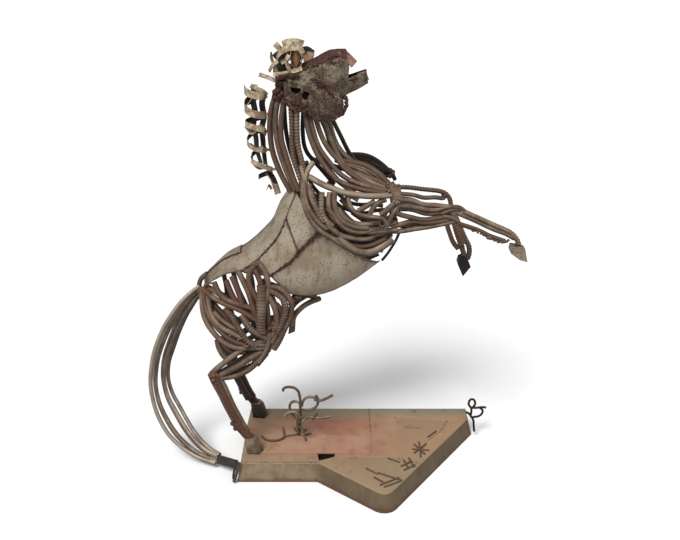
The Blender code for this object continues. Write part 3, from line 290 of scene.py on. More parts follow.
def pitted_steel(name, ground, warm, pit_and_shade, reddish, holed=0.38):
    f = Finish(name, 0.2)
    blotch = f.noise(55.0, 5.0, 0.75)
    lumps, fine = f.noise(75.0, 5.0, 0.7), f.noise(330.0, 3.0, 0.6)
    weld = f.attribute("rust")
    colour = f.blend(f.noise(38.0, 4.0).steps(0.40, 0.60), ground, warm)
    colour = f.blend((lumps + weld * 0.35).steps(0.54, 0.68), colour, reddish)
    holes = (1.0 - f.specks(165.0)).steps(0.66, 0.82) * f.noise(60.0, 3.0).steps(holed, holed + 0.12)
    colour = f.blend(holes + fine.steps(0.54, 0.64) * 0.8, colour, pit_and_shade)
    colour = f.blend(blotch.steps(0.56, 0.66) * 0.75, colour, pit_and_shade)
    # Painted shade: darker on faces that look down and on faces that look inwards.
    colour = f.blend(shade_below(f) * 0.6, colour, pit_and_shade)
    colour = f.blend(inward_shade(f) * 0.95, colour, SCALE_AND_SHADE)
    return f.finish(colour, 0.62 + lumps * 0.2, lumps * 1.6 + fine * 0.5 - holes * 1.4, 0.0022)


def strip_steel(name, pale, tan, metal=0.3):
    f = Finish(name, metal)
    hollow, rust = f.attribute("hollow"), f.attribute("rust")
    broad, fine = f.noise(60.0, 4.0), f.noise(220.0, 3.0)
    colour = f.blend((broad + fine * 0.4).steps(0.52, 0.84), pale, tan)
    colour = f.blend(f.noise(90.0, 4.0).steps(0.58, 0.70) * 0.9, colour, (0.100, 0.055, 0.033))
    colour = f.blend(rust.steps(0.4, 0.8), colour, (0.200, 0.095, 0.045))
    # Painted shade in the hollow of each curl.
    colour = f.blend(hollow.steps(0.35, 0.65) * 0.95, colour, SCALE_AND_SHADE)
    return f.finish(colour, 0.42 + broad * 0.25, fine, 0.0005)


body_finish = sheet_steel("body sheet", (0.310, 0.268, 0.198), (0.205, 0.160, 0.110), (0.060, 0.037, 0.025))
head_finish = pitted_steel("pitted head plate", (0.185, 0.155, 0.108), (0.090, 0.062, 0.042),
                           (0.018, 0.012, 0.009),
                           (0.080, 0.038, 0.028))
weld_finish = pitted_steel("heavy weld", (0.075, 0.046, 0.033), (0.060, 0.028, 0.021), (0.012, 0.008, 0.006),
                           (0.085, 0.030, 0.024))
copper_finish = pitted_steel("copper brown plate", (0.420, 0.235, 0.165), (0.330, 0.175, 0.120),
                             (0.120, 0.070, 0.048),
                             (0.260, 0.120, 0.080))
mane_finish = strip_steel("cream strip", (0.500, 0.420, 0.290), (0.230, 0.160, 0.100))
hoof_finish = sheet_steel("hoof plate", (0.260, 0.205, 0.145), (0.150, 0.105, 0.070), (0.050, 0.030, 0.020))
# The far fore hoof's near-black plate is painted shade.
far_hoof_shade_finish = sheet_steel("black hoof plate", (0.030, 0.027, 0.025), (0.016, 0.014, 0.013),
                           (0.006, 0.005, 0.005))
print("finishes:", len(bpy.data.materials))

# %% [markdown]
# ## Working on one thing at a time
# Operators act on whatever is selected, and the frame's own parts arrive selected. So each new
# piece starts from an empty selection. Joined parts must carry the same attributes, which is why
# tone, rust, edge and hollow, the mask of painted shade in the curls, are written on every
# part before it is joined.

# %% Selecting, marking and joining
random.seed(7)


def deselect():
    if bpy.context.object and bpy.context.object.mode != "OBJECT":
        bpy.ops.object.mode_set(mode="OBJECT")
    bpy.ops.object.select_all(action="DESELECT")


def only(thing):
    deselect()
    thing.select_set(True)
    bpy.context.view_layer.objects.active = thing


def mark(thing, **values):
    """Write one number all over the mesh for each name."""
    for name, value in values.items():
        mesh = thing.data
        layer = mesh.attributes.get(name) or mesh.attributes.new(name, "FLOAT", "POINT")
        layer.data.foreach_set("value", [value] * len(mesh.vertices))


def apply(thing, kind, **settings):
    """Add a modifier with its settings, and apply it."""
    only(thing)
    bpy.ops.object.modifier_add(type=kind)
    modifier = thing.modifiers[-1]
    for key, value in settings.items():
        setattr(modifier, key, value)
    bpy.ops.object.modifier_apply(modifier=modifier.name)


def settle(thing):
    """Leave the object at the origin, unturned and unscaled, with its place in its mesh."""
    only(thing)
    bpy.ops.object.transform_apply(location=True, rotation=True, scale=True)


def piece(name, parts, finish, slot, *nodes, angle=40):
    """Join the parts into one named piece that stands for the nodes."""
    deselect()
    for part in parts:
        part.select_set(True)
    bpy.context.view_layer.objects.active = parts[0]
    if len(parts) > 1:
        bpy.ops.object.join()
    made = bpy.context.object
    made.name = made.data.name = name.replace(" ", "_") + "_dressed"
    made.data.materials.clear()
    made.data.materials.append(finish)
    for polygon in made.data.polygons:
        polygon.material_index = 0
    bpy.ops.object.shade_smooth_by_angle(angle=math.radians(angle))
    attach(made, "root")
    if nodes:
        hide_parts(*nodes)
    print(name, len(made.data.polygons), "faces")
    return made


# %% [markdown]
# ## Ribbed bar and plain bar
# Reinforcing bar is a round bar with raised rings about every 9 mm. One ring's length is modelled
# by hand: a short open cylinder, cut across in two places, with the band between pushed out. An
# Array repeats it to the bar's length, and a Curve modifier bends it along the path, as a bending
# tool would. Plain bar is a curve with a round bevel, turned into a mesh.

# %% One ring of ribbed bar
RIB_PITCH = 0.0088
RIB_HEIGHT = 0.0009
BAR_SIDES = 12
REBAR = 0.0127
PLAIN = 0.0132
THIN_BAR = 0.0125
CHEST_BAR = 0.0145
STOUT_BAR = 0.0150
THIGH_BAR = 0.0165
IN_SHADOW = -2.0


def model_rib():
    """One pitch of tube along X with a raised band, stretched later to fit each bar."""
    deselect()
    bpy.ops.mesh.primitive_cylinder_add(vertices=BAR_SIDES, radius=REBAR / 2, depth=RIB_PITCH,
                                        end_fill_type="NOTHING",
                                        rotation=(0, math.pi / 2, 0))
    rib = bpy.context.object
    settle(rib)
    bpy.ops.object.mode_set(mode="EDIT")
    for place in (-0.24, -0.10, 0.10, 0.24):
        bpy.ops.mesh.select_all(action="SELECT")
        bpy.ops.mesh.bisect(plane_co=(place * RIB_PITCH, 0, 0), plane_no=(1, 0, 0.22))
    bpy.ops.object.mode_set(mode="OBJECT")
    for vertex in rib.data.vertices:
        middle = abs(vertex.co.x + 0.22 * vertex.co.z) < 0.16 * RIB_PITCH
        if middle:
            grow = 1 + RIB_HEIGHT / (REBAR / 2)
            vertex.co.y *= grow
            vertex.co.z *= grow
        vertex.co.x += RIB_PITCH / 2
    return rib


rib_pattern = model_rib()
print("one ring of ribbed bar:", len(rib_pattern.data.polygons), "faces")

# %% Bending bars along paths
def lay_path(places, steps=6):
    """A smooth curve object through the places."""
    deselect()
    bpy.ops.curve.primitive_bezier_curve_add(location=(0, 0, 0))
    curve = bpy.context.object
    curve.data.dimensions = "3D"
    curve.data.resolution_u = steps
    curve.data.twist_mode = "MINIMUM"
    spline = curve.data.splines[0]
    spline.bezier_points.add(len(places) - 2)
    for point, place in zip(spline.bezier_points, places):
        point.co = place
        point.handle_left_type = point.handle_right_type = "AUTO"
    return curve


def wear(thing, tone, rust):
    mark(thing, tone=random.uniform(-0.35, 0.35) + tone, rust=rust + random.uniform(-0.2, 0.35), edge=0.0,
         hollow=0.0)
    return thing


def plain_bar(places, thickness=PLAIN, tone=0.0, rust=0.1, sides=3):
    """A round bar with closed ends along the places."""
    curve = lay_path(places)
    curve.data.bevel_depth = thickness / 2
    curve.data.bevel_resolution = sides
    curve.data.use_fill_caps = True
    only(curve)
    bpy.ops.object.convert(target="MESH")
    bar = bpy.context.object
    jitter(bar, 0.0004)
    return wear(bar, tone, rust)


def ribbed_bar(places, thickness=REBAR, tone=0.0, rust=0.1):
    """A ribbed bar with closed ends along the places."""
    curve = lay_path(places, steps=8)
    length = curve.data.splines[0].calc_length()
    count = max(2, round(length / RIB_PITCH))
    bar = rib_pattern.copy()
    bar.data = rib_pattern.data.copy()
    bpy.context.collection.objects.link(bar)
    bar.data.transform(Matrix.Diagonal((length / count / RIB_PITCH, thickness / REBAR, thickness / REBAR, 1)))
    apply(bar, "ARRAY", fit_type="FIXED_COUNT", count=count, use_merge_vertices=True, merge_threshold=0.00005)
    apply(bar, "CURVE", object=curve, deform_axis="POS_X")
    only(bar)
    bpy.ops.object.mode_set(mode="EDIT")
    bpy.ops.mesh.select_all(action="SELECT")
    bpy.ops.mesh.fill_holes(sides=0)
    bpy.ops.object.mode_set(mode="OBJECT")
    bpy.data.objects.remove(curve, do_unlink=True)
    return wear(bar, tone, rust)


def jitter(thing, amount, scale=35.0):
    """Small waves in the surface, as hand-worked metal has."""
    for vertex in thing.data.vertices:
        p = vertex.co * scale
        wave = Vector((math.sin(p.y * 1.7 + p.z), math.sin(p.z * 1.3 + p.x * 2.1), math.sin(p.x * 1.9 + p.y)))
        vertex.co += wave * amount


print("bars can be bent")

# %% [markdown]
# ## Weld
# Where bars meet, the welder ran beads of molten rod: strings of small overlapping lumps. One lump
# is a sphere squashed a little, and a bead is many copies of it along a path, each turned and sized
# at random from a fixed seed. A knot is the same lump piled up in a cloud.

# %% Beads and knots
bpy.ops.object.select_all(action="DESELECT")
bpy.ops.mesh.primitive_ico_sphere_add(subdivisions=2, radius=1.0)
blob_pattern = bpy.context.object


def blob(place, size, squash=0.8, tone=-0.1, rust=0.4):
    """One lump of weld."""
    lump = blob_pattern.copy()
    lump.data = blob_pattern.data.copy()
    bpy.context.collection.objects.link(lump)
    turn = Matrix.Rotation(random.uniform(0, 3.1), 4, "Z") @ Matrix.Rotation(random.uniform(0, 3.1), 4, "X")
    scale = Matrix.Diagonal((size, size * squash, size * random.uniform(0.75, 1.1), 1))
    lump.data.transform(Matrix.Translation(place) @ turn @ scale)
    return wear(lump, tone, rust)


def bead(places, size=0.0036, step=0.0036, wander=0.0008, **marks):
    """A string of weld lumps through the places."""
    curve = lay_path(places, steps=12)
    only(curve)
    bpy.ops.object.convert(target="MESH")
    line = bpy.context.object
    points = [vertex.co.copy() for vertex in line.data.vertices]
    bpy.data.objects.remove(line, do_unlink=True)
    lumps = []
    carry = 0.0
    for a, b in zip(points, points[1:]):
        length = (b - a).length
        while carry < length:
            drift = Vector([random.uniform(-wander, wander) for _ in range(3)])
            lumps.append(blob(a.lerp(b, carry / length) + drift, size * random.uniform(0.7, 1.25), **marks))
            carry += step
        carry -= length
    return lumps


def knot(place, radius, count, size=0.006, **marks):
    """A pile of weld lumps round a place."""
    lumps = []
    for _ in range(count):
        way = Vector([random.gauss(0, 1) for _ in range(3)]).normalized()
        lumps.append(blob(place + way * radius * random.uniform(0.3, 1.0), size * random.uniform(0.7, 1.3),
                          **marks))
    return lumps


print("one lump of weld:", len(blob_pattern.data.polygons), "faces")

# %% [markdown]
# ## The neck
# Bars run up from the chest and shoulders and crowd together under the head. A few of them are
# ribbed, the rest are plain and a little crushed. Each is drawn as the pixels that it covers, with
# its depth, nearest the viewer in the middle of the neck and back to the middle plane at the crest
# and the throat. The far side is seen only through the gaps, so it has fewer bars.

# %% Bars of the neck
def bars(lines, make, **settings):
    """Bars along pixel paths, each point being (u, v, depth in cm)."""
    return [make([seen(*point) for point in line], **settings) for line in lines]


NECK_CREST = [
    [(275, 96, -1.2), (272, 106, -1), (270, 120, -1), (270, 135, -1), (272, 150, -1.2), (277, 165, -1.6),
     (283, 178, -2.2),
     (290, 191, -3)],
    [(280, 94, -1.8), (277, 106, -2), (275.5, 120, -2.2), (276, 135, -2.4), (279, 150, -2.8),
     (284, 165, -3.4),
     (290, 180, -4.4), (295, 190, -5)],
    [(284, 92, -2.2), (283, 106, -2.4), (281, 122, -2.8), (281.5, 140, -3.2), (285, 152, -3.8),
     (289.5, 166, -4.6),
     (294, 180, -5.6), (299, 191, -6.4)],
]
NECK_PLAIN = [
    [(305, 112, -4), (308, 130, -4.8), (312, 142, -5.6), (319, 157, -6.8), (327, 169, -8), (336, 179, -9.2),
     (346, 187, -10.2), (355, 193, -10.8)],
    [(309, 112, -3.8), (313, 130, -4.4), (318, 145, -5.2), (327, 159, -6.2), (339, 173, -7.6),
     (349, 180, -8.8),
     (360, 186, -9.6), (376, 191, -10), (390, 192, -9.8)],
    [(315, 116, -3), (321, 135, -3.8), (328, 148, -4.8), (338, 160, -6), (346, 170, -7), (357, 178, -8),
     (372, 186, -9), (390, 190, -9.4)],
    [(323, 118, -2), (330, 138, -2.6), (336, 151, -3.6), (343, 163, -5), (351, 171, -6.2), (364, 178, -7.4),
     (380, 185, -8.4), (392, 189, -9)],
]
NECK_RIBBED = [
    [(291, 108, -3.4), (292, 130, -4.2), (292, 145, -4.8), (294, 160, -5.8), (298, 172, -6.8),
     (303, 186, -8)],
    [(297, 108, -4), (297, 130, -4.8), (298, 145, -5.6), (301, 158, -6.6), (304, 170, -7.8), (306, 182, -9)],
    [(329, 121, -1), (335, 141, -1.6), (341, 151, -2.4), (348, 158, -3.4), (355, 164, -4.4)],
]
NECK_STUB = [[(313.5, 162, -7.4), (308, 170, -8.4), (305.5, 180, -9.4), (305, 190, -10)],
             [(301, 166, -7.4), (304, 176, -8.8), (305, 188, -9.8)]]
near_neck = bars(NECK_CREST, plain_bar, thickness=STOUT_BAR, tone=-0.2, rust=0.8)
near_neck += bars(NECK_PLAIN, plain_bar, thickness=CHEST_BAR, rust=0.25)
near_neck += bars(NECK_RIBBED, ribbed_bar, thickness=CHEST_BAR)
near_neck += bars(NECK_STUB, plain_bar, thickness=STOUT_BAR, tone=0.2)
near_neck += bead([seen(302, 164, -7.6), seen(304, 172, -8.8), seen(303, 180, -9)], size=0.0035)
piece("neck bars near", near_neck, bar_finish, "bar", "neck_bars_near")

# %% Far bars of the neck
NECK_FAR = [
    [(284, 106, 2.5), (286, 130, 3), (290, 150, 4), (298, 172, 6), (306, 190, 8)],
    [(272, 106, 1.4), (271, 130, 1.4), (273, 150, 1.8), (279, 168, 2.6), (287, 186, 4)],
    [(294, 106, 3.4), (295, 130, 4.2), (296, 150, 5.2), (300, 170, 7), (308, 188, 9)],
    [(303, 108, 3.6), (303, 135, 4.4), (306, 150, 5.4), (313, 160, 6.4), (322, 170, 7.6), (334, 184, 9)],
    [(310, 110, 3.6), (313, 138, 4.6), (321, 157, 6), (334, 175, 8), (346, 188, 9.6)],
    [(317, 112, 3), (325, 128, 3.4), (331, 145, 4.4), (340, 160, 6), (352, 174, 8)],
    [(329, 112, 1), (340, 134, 1.8), (352, 157, 3), (364, 168, 5)],
]
far_neck = bars(NECK_FAR, plain_bar, thickness=THIN_BAR, tone=-0.1, rust=0.0)
piece("neck bars far", far_neck, bar_finish, "bar", "neck_bars_far")

# %% [markdown]
# ## Chest and shoulder
# Over the breast the bars lie side by side and end in one big knot of weld, from which the foreleg
# starts. Round the shoulder run large rings, one of them a thick pipe. Short off-cuts, a hook and
# a tube seen end on fill the middle. Light shows through all of it, so the gaps
# matter as much as the bars.

# %% Breast
BREAST_RIBBED = [
    [(341, 160.5, -3), (353.5, 162.5, -4.4), (364, 165, -5.6), (373.5, 170, -6.6), (382, 177, -7.6),
     (389, 184, -8.4),
     (395, 191, -9), (399, 199, -9.4)],
]
BREAST_PLAIN = [
    [(349, 170.5, -5.4), (358, 173.5, -6.4), (367.5, 177.5, -7.2), (376.5, 180.5, -8), (388, 186, -8.8)],
    [(352, 175, -6.6), (364, 179, -7.6), (376, 184.5, -8.6), (390, 189, -9.2)],
    [(346, 165, -4.4), (356, 168, -5.2), (368, 173, -6.2), (379, 179.5, -7.2), (390, 187, -8.4)],
    [(343, 163, -3.6), (354, 165.5, -4.8), (366, 169.5, -6), (377, 176, -7.2), (388, 185, -8.2)],
    [(357, 176.5, -7), (369, 182, -8), (381, 187, -8.8), (392, 190, -9.4)],
    [(350, 180, -9.6), (364, 185.5, -10), (378, 189, -10), (392, 191, -9.8)],
    [(335, 179, -9.6), (346, 184.5, -10.4), (358, 188.5, -10.8), (372, 191.5, -10.8), (390, 193, -10.2)],
]
COLLAR = [(309, 177, -9.6), (323, 184.5, -10.8), (334, 189, -11.4), (343, 192.5, -11.9), (354, 194.5, -12.1),
          (369, 196, -12.1), (383, 196, -11.6), (391, 195, -10.8)]
breast = bars(BREAST_RIBBED, ribbed_bar, thickness=0.0155, rust=0.3)
breast += bars(BREAST_PLAIN, plain_bar, thickness=CHEST_BAR, rust=0.3)
breast += bars([COLLAR], plain_bar, thickness=0.0175, tone=0.35, rust=-0.2)
breast.append(plain_bar([seen(388, 187, -9.4), seen(394, 191, -9.8), seen(397, 201, -9.8)],
                        thickness=0.036, rust=0.4))
breast += knot(seen(392, 189, -9.8), 0.021, 60, size=0.0048, tone=0.1, rust=0.3)
breast += knot(seen(396, 198, -9.8), 0.021, 60, size=0.0048, tone=0.1, rust=0.3)
piece("breast bars near", breast, bar_finish, "bar", "chest_bars_near")

# %% Rings round the shoulder
RING_PLAIN = [
    [(304.5, 180, -9.4), (305, 196, -11), (308, 207.5, -12), (314.5, 217.5, -12.5), (322, 225.5, -12.8),
     (327, 229, -12.8)],
    [(335, 190, -11.6), (334.5, 205, -12.4), (337, 213.5, -12.8), (341.5, 220.5, -13), (349, 225, -13),
     (358, 227.5, -12.8),
     (368, 227.5, -12.2)],
    [(326, 223.5, -12.7), (333, 229.5, -12.9), (341.5, 235.5, -12.7), (352, 238, -12.2), (361, 239, -11.7),
     (369, 238, -11),
     (377, 234.5, -10.5), (390, 231, -9.6)],
    [(327, 208, -12.6), (332, 213.5, -12.9), (338.5, 222, -13), (346, 228.5, -12.9), (354, 231.5, -12.6),
     (365, 231.5, -12),
     (374, 229.5, -11.4), (386, 229, -10.4)],
    [(309, 184, -10), (312, 200, -11.6), (318, 211, -12.3), (325, 219, -12.7), (333, 226, -12.9)],
    [(352, 226.5, -12.4), (366, 231.5, -11.8), (380, 231.5, -11), (397, 229, -9.6)],
]
PIPE = [(338, 236.5, -12.6), (344.5, 243, -12.1), (352, 248.5, -11.5), (361, 252, -10.9), (370.5, 252, -10.3),
        (378.5, 248.5, -9.8), (386, 243.5, -9.4), (392.5, 239, -9.2)]
RING_RIBBED = [[(322, 192, -11.4), (321.5, 203.5, -12), (322, 211, -12.5), (325, 219, -12.8),
                (329.5, 224, -12.9)],
               [(311, 190, -10.6), (314, 203, -11.8), (318.5, 214, -12.4), (324, 222, -12.7)]]
HOOK = [(348, 197, -11.8), (350.5, 206.5, -12.4), (355, 212, -12.8), (361, 215, -13), (369, 216.5, -13),
        (376.5, 217.5, -12.9),
        (382.5, 219, -12.8), (386, 223.5, -12.6), (386, 228, -12.2)]
OFFCUTS = [[(358, 211, -12.6), (366.5, 206, -12.2), (375, 201, -11.6)],
           [(369.5, 215, -12.8), (373, 208, -12.4), (379, 202.5, -11.8), (386, 199.5, -11.2)],
           [(380, 215, -12.2), (385, 211, -11.8), (391, 206, -11)],
           [(358.5, 200, -11.8), (352, 196.5, -11.6), (345, 196, -11.6)],
           [(372, 222, -12.2), (378, 221, -12), (385, 212, -11.4)]]
RING_MORE = [
    [(304, 181, -9.6), (303, 196, -11), (306, 210, -12), (312, 222, -12.5), (321, 231, -12.8),
     (333, 238.5, -12.8),
     (345, 246, -12.2)],
    [(338, 209, -12.4), (345, 218, -12.6), (356, 223.5, -12.4), (370, 223.5, -12), (386, 221, -11.2)],
    [(330, 192, -11), (328.5, 203, -11.8), (331, 214, -12.4), (337, 222, -12.6)],
    [(346, 243, -11.6), (358, 246, -11), (372, 244.5, -10.2), (386, 238, -9.6)],
    [(394, 203, -10.6), (385, 213, -11.4), (379, 223, -12)],
    [(398, 206, -10.2), (391, 216, -10.8), (387, 226, -11.2)],
    [(366, 228.5, -11.6), (380, 227, -10.8), (396, 222, -9.8)],
]
SHADOWS = [
    [(330, 200, -9), (345, 221, -10), (362, 233, -9.6), (388, 236, -8.6)],
    [(312, 192, -8.4), (320, 214, -10), (338, 234, -10.4), (362, 247, -9.4), (384, 246, -8.2)],
    [(352, 212, -10), (366, 221, -10.4), (382, 228, -9.8)],
    [(341, 199, -9.6), (356, 214, -10.2), (378, 224, -10)],
    [(338, 226, -10), (352, 238, -10), (372, 240, -9), (392, 234, -8)],
    [(306, 186, -7.4), (309, 206, -9), (318, 224, -10)],
    [(388, 206, -8), (394, 216, -8), (396, 226, -7.6)],
]
rings = bars(RING_PLAIN + RING_MORE, plain_bar, thickness=STOUT_BAR, rust=0.2)
rings += bars(SHADOWS, plain_bar, thickness=STOUT_BAR, tone=IN_SHADOW)
rings += bars([PIPE], plain_bar, thickness=0.0235, tone=0.3, rust=-0.1)
rings += bars(RING_RIBBED, ribbed_bar, thickness=STOUT_BAR, rust=0.2)
rings += bars([HOOK], plain_bar, thickness=THIN_BAR)
rings += bars(OFFCUTS, plain_bar, thickness=CHEST_BAR, tone=0.1)
tube_end = [seen(382 + 3.2 * math.cos(t), 222.8 + 3.6 * math.sin(t), -12.9)
            for t in (k * math.pi / 4 for k in range(9))]
rings.append(plain_bar(tube_end, thickness=0.0045, tone=0.2))
rings += bead([seen(326, 226, -13), seen(331, 231, -13), seen(334, 234, -12.8)], size=0.0040)
piece("shoulder rings near", rings, bar_finish, "bar", "shoulder_rings_near")

# %% Far side of chest and shoulder
def mirrored(line, lift=0.0):
    """The same bar on the far side, at the same distance from the middle plane."""
    places = [seen(*point) for point in line]
    return [Vector((p.x, 2 * FIGURE.y - p.y, p.z + lift)) for p in places]


far_breast = [plain_bar(mirrored(line), thickness=THIN_BAR) for line in BREAST_RIBBED + BREAST_PLAIN[1:]]
far_breast.append(plain_bar(mirrored(COLLAR), thickness=STOUT_BAR))
far_breast += knot(mirrored([(394, 192, -9.8)])[0], 0.014, 14, size=0.0085)
piece("breast bars far", far_breast, bar_finish, "bar", "chest_bars_far")
far_rings = [plain_bar(mirrored(line), thickness=THIN_BAR) for line in RING_PLAIN[:1] + RING_PLAIN[2:4]]
far_rings.append(plain_bar(mirrored(PIPE), thickness=0.0200))
piece("shoulder rings far", far_rings, bar_finish, "bar", "shoulder_rings_far")
# The breast rods are near-black, as painted shade at the bottom of the chest.
BREAST_ROD = [(399.5, 232, -6), (396, 240, -5.4), (391.5, 247.5, -4.6), (387, 254, -4), (382, 260, -3)]
piece("breast rod near", bars([BREAST_ROD], plain_bar, thickness=0.0080), black_and_shade_finish, "dark_bar",
      "breast_rod_near")
piece("breast rod far", [plain_bar(mirrored(BREAST_ROD), thickness=0.0080)], black_and_shade_finish, "dark_bar",
      "breast_rod_far")

# %% [markdown]
# ## Forelegs
# The near leg reaches forward: a fan of bars runs from the knot to the knee, and three more from the
# knee to the fetlock, with ragged weld underneath. The far leg bends over its knee and hangs, with a
# thick orange-brown ribbed bar between its two thin ones, and a hoof painted near-black as shade.

# %% Forelegs
FOREARM_NEAR = [
    [(391, 205, -10.2), (404.5, 206, -9.4), (419.5, 208, -8.6), (435.5, 210, -7.8), (448, 206.5, -7.2),
     (457, 208, -7)],
    [(390, 209.5, -10.6), (400, 214.5, -10), (411.5, 217.5, -9.4), (423.5, 219.5, -8.6), (435.5, 218.5, -8),
     (447, 217, -7.4), (456, 219.5, -7)],
    [(388, 231, -9.8), (401.5, 231, -9.2), (419.5, 228, -8.4), (435.5, 225.5, -7.8), (447, 223, -7.4),
     (457, 220, -7)],
    [(391, 226.5, -10), (402, 224, -9.6), (413, 221.5, -9), (426, 222.5, -8.4), (440, 221.5, -7.8),
     (450, 219, -7.3)],
    [(397, 200, -9), (412, 201, -8.4), (424, 204.5, -8), (437, 205.5, -7.6), (449, 207, -7.2)],
    [(390, 222, -8.6), (404, 226, -7.8), (422, 224, -7), (441, 217, -6.6), (451, 213, -6.6)],
    [(399, 209, -8.8), (412, 209.5, -8), (428, 213.5, -7.4), (444, 212.5, -7)],
]
CANNON_NEAR = [(455, 207, -7), (465, 212, -7), (475, 216.5, -7), (485, 221, -6.9), (495, 225.5, -6.8),
               (504.5, 229.5, -6.6),
               (511.5, 233.5, -6.5), (516.5, 239, -6.5), (519, 245, -6.5)]
CANNON_SIDE = [(457, 213, -7.5), (466, 217, -7.5), (476, 221.5, -7.4), (486, 226, -7.3),
               (496, 230.5, -7.1), (505, 234, -6.9),
               (513, 238, -6.8)]
CANNON_LOW = [(451, 219, -7), (460, 223.5, -7), (470, 227, -7), (480, 230.5, -6.9), (489, 235, -6.8),
              (498, 238.5, -6.6),
              (505, 241, -6.5)]
KNEE = [[(441, 214, -7.8), (449, 211, -7.6), (458, 209, -7.4), (463, 211.5, -7.2)],
        [(443, 216, -7.8), (451, 217.5, -7.8), (458, 221, -7.4)],
        [(452, 206.5, -7.6), (459, 207, -7.5), (465, 211, -7.2)]]
forearm = bars(FOREARM_NEAR, plain_bar, thickness=CHEST_BAR, rust=0.15)
forearm += bead([seen(443, 214, -7.8), seen(450, 219, -7.8), seen(457, 219.5, -7.6)], size=0.0036)
piece("forearm near", forearm, bar_finish, "bar", "forearm_near")
foreleg = bars([CANNON_NEAR], ribbed_bar, thickness=0.0140, tone=0.2)
foreleg += bars([CANNON_SIDE], plain_bar, thickness=0.0120, tone=0.3)
foreleg += bars([CANNON_LOW], plain_bar, thickness=0.0110, rust=0.8)
foreleg += bars(KNEE, plain_bar, thickness=0.0110, rust=0.4)
CANNON_WELD = ((461, 225.5), (475, 231), (488, 237), (499, 241.5), (506, 242), (509, 239))
foreleg += bead([seen(u, v, -6.9) for u, v in CANNON_WELD],
                size=0.0050, step=0.0050, wander=0.0020)
foreleg += knot(seen(461, 211, -7.2), 0.007, 8)
foreleg += knot(seen(513, 238, -6.6), 0.006, 8, size=0.0050)
foreleg += knot(seen(517, 244, -6.5), 0.006, 8, size=0.0050)
piece("foreleg near", foreleg, bar_finish, "bar", "foreleg_near")

# %% Far foreleg
FOREARM_FAR = [
    [(396, 187, 8.6), (409.5, 187.5, 8.2), (421.5, 189, 7.6), (431.5, 190, 7), (439, 191, 6.6),
     (445.5, 193.5, 6.3),
     (449.5, 198.5, 6.1), (451, 206, 6)],
    [(399, 194, 8.6), (413.5, 195, 8), (423.5, 197.5, 7.4), (435.5, 197.5, 6.8), (443, 198.5, 6.4)],
    [(398, 198.5, 8.8), (412.5, 200, 8.2), (421.5, 203.5, 7.6), (431.5, 206, 7), (441, 206, 6.6),
     (450, 207, 6.2)],
    [(400, 204, 8.6), (414, 206, 8), (430, 209, 7.2), (446, 212, 6.4)],
]
HANGING = [[(446, 208, 6), (447, 224, 6), (449.5, 233, 6), (453, 242, 6), (458, 248.5, 6)],
           [(453, 210, 6), (460, 227, 6), (465, 238.5, 6), (469, 247, 6), (469, 254, 6), (467.5, 259, 6)]]
forearm_far = bars(FOREARM_FAR[:1], ribbed_bar, thickness=0.0135, rust=0.2)
forearm_far += bars(FOREARM_FAR[1:], plain_bar, rust=0.5)
forearm_far += knot(seen(443, 196, 6.4), 0.008, 8)
piece("forearm far", forearm_far, open_finish, "bar", "forearm_far")
hanging = bars(HANGING[:1], plain_bar, thickness=STOUT_BAR, tone=-0.6)
hanging += bars(HANGING[1:], ribbed_bar, thickness=STOUT_BAR)
hanging += bars([[(453, 212, 5.4), (457, 229, 5.4), (462, 244, 5.4)]], ribbed_bar, thickness=0.0220,
                tone=0.5, rust=0.9)
hanging += bars([[(461, 246, 6), (463.5, 253, 6), (464, 259, 6)]], ribbed_bar, thickness=STOUT_BAR, tone=0.2)
hanging += bead([seen(452, 238, 6.6), seen(457, 246, 6.8), seen(462, 249, 6.8)], size=0.0040)
hanging += bead([seen(457, 226, 6.8), seen(462, 240, 6.8), seen(464, 248, 6.6)], size=0.0032)
hanging += knot(seen(450, 209, 6), 0.008, 10)
piece("foreleg far", hanging, open_finish, "rusty_bar", "foreleg_far")

# %% [markdown]
# ## Haunches
# The thigh is a loose basket. Bars start at the dock and under the croup, bow out over the muscle
# and meet again above the knee in a mass of weld. Some cross each other, and one short thick
# ribbed bar stands in the middle.

# %% Near haunch
THIGH_PLAIN = [
    [(202, 287, -5.4), (202, 297, -6.4), (202.5, 308, -7.6), (206, 320.5, -9.6), (212.5, 331.5, -11),
     (220, 339.5, -12),
     (230, 345.5, -12.6), (240, 348, -12.7), (250, 348, -12.4)],
    [(205.5, 289, -6), (207.5, 297, -7), (209.5, 309.5, -8.8), (215, 320.5, -10.6), (222.5, 328, -11.8),
     (232, 333, -12.7),
     (242, 338, -13.2)],
    [(203, 289, -5.8), (213, 297.5, -8.6), (225, 304, -10.8), (236.5, 308.5, -12.4), (245, 313, -13.2),
     (253, 318, -13.8),
     (261, 322, -14)],
    [(214, 282, -8.2), (218, 291, -9.4), (225, 298.5, -10.8), (235, 303, -12.2), (245, 306.5, -13.2),
     (254, 309, -13.8)],
    [(231.5, 276, -10.6), (236.5, 287.5, -11.8), (240.5, 298, -12.6), (242.5, 306.5, -13.2)],
    [(238, 271, -11), (244, 283, -12.2), (249, 294, -13), (253, 308, -13.8), (257, 321, -14)],
    [(256.5, 264, -12), (250, 272, -12.4), (249, 283, -12.9), (254, 293, -13.4), (259, 302, -13.8)],
    [(253, 267, -11.8), (259, 279, -12.8), (262, 290, -13.4)],
    [(257.5, 261, -11.8), (264.5, 272, -12.4), (268, 283, -13), (267.5, 293, -13.5), (265, 303, -13.8)],
    [(250, 348, -12.6), (261, 348, -12.6), (269, 346, -12.3)],
]
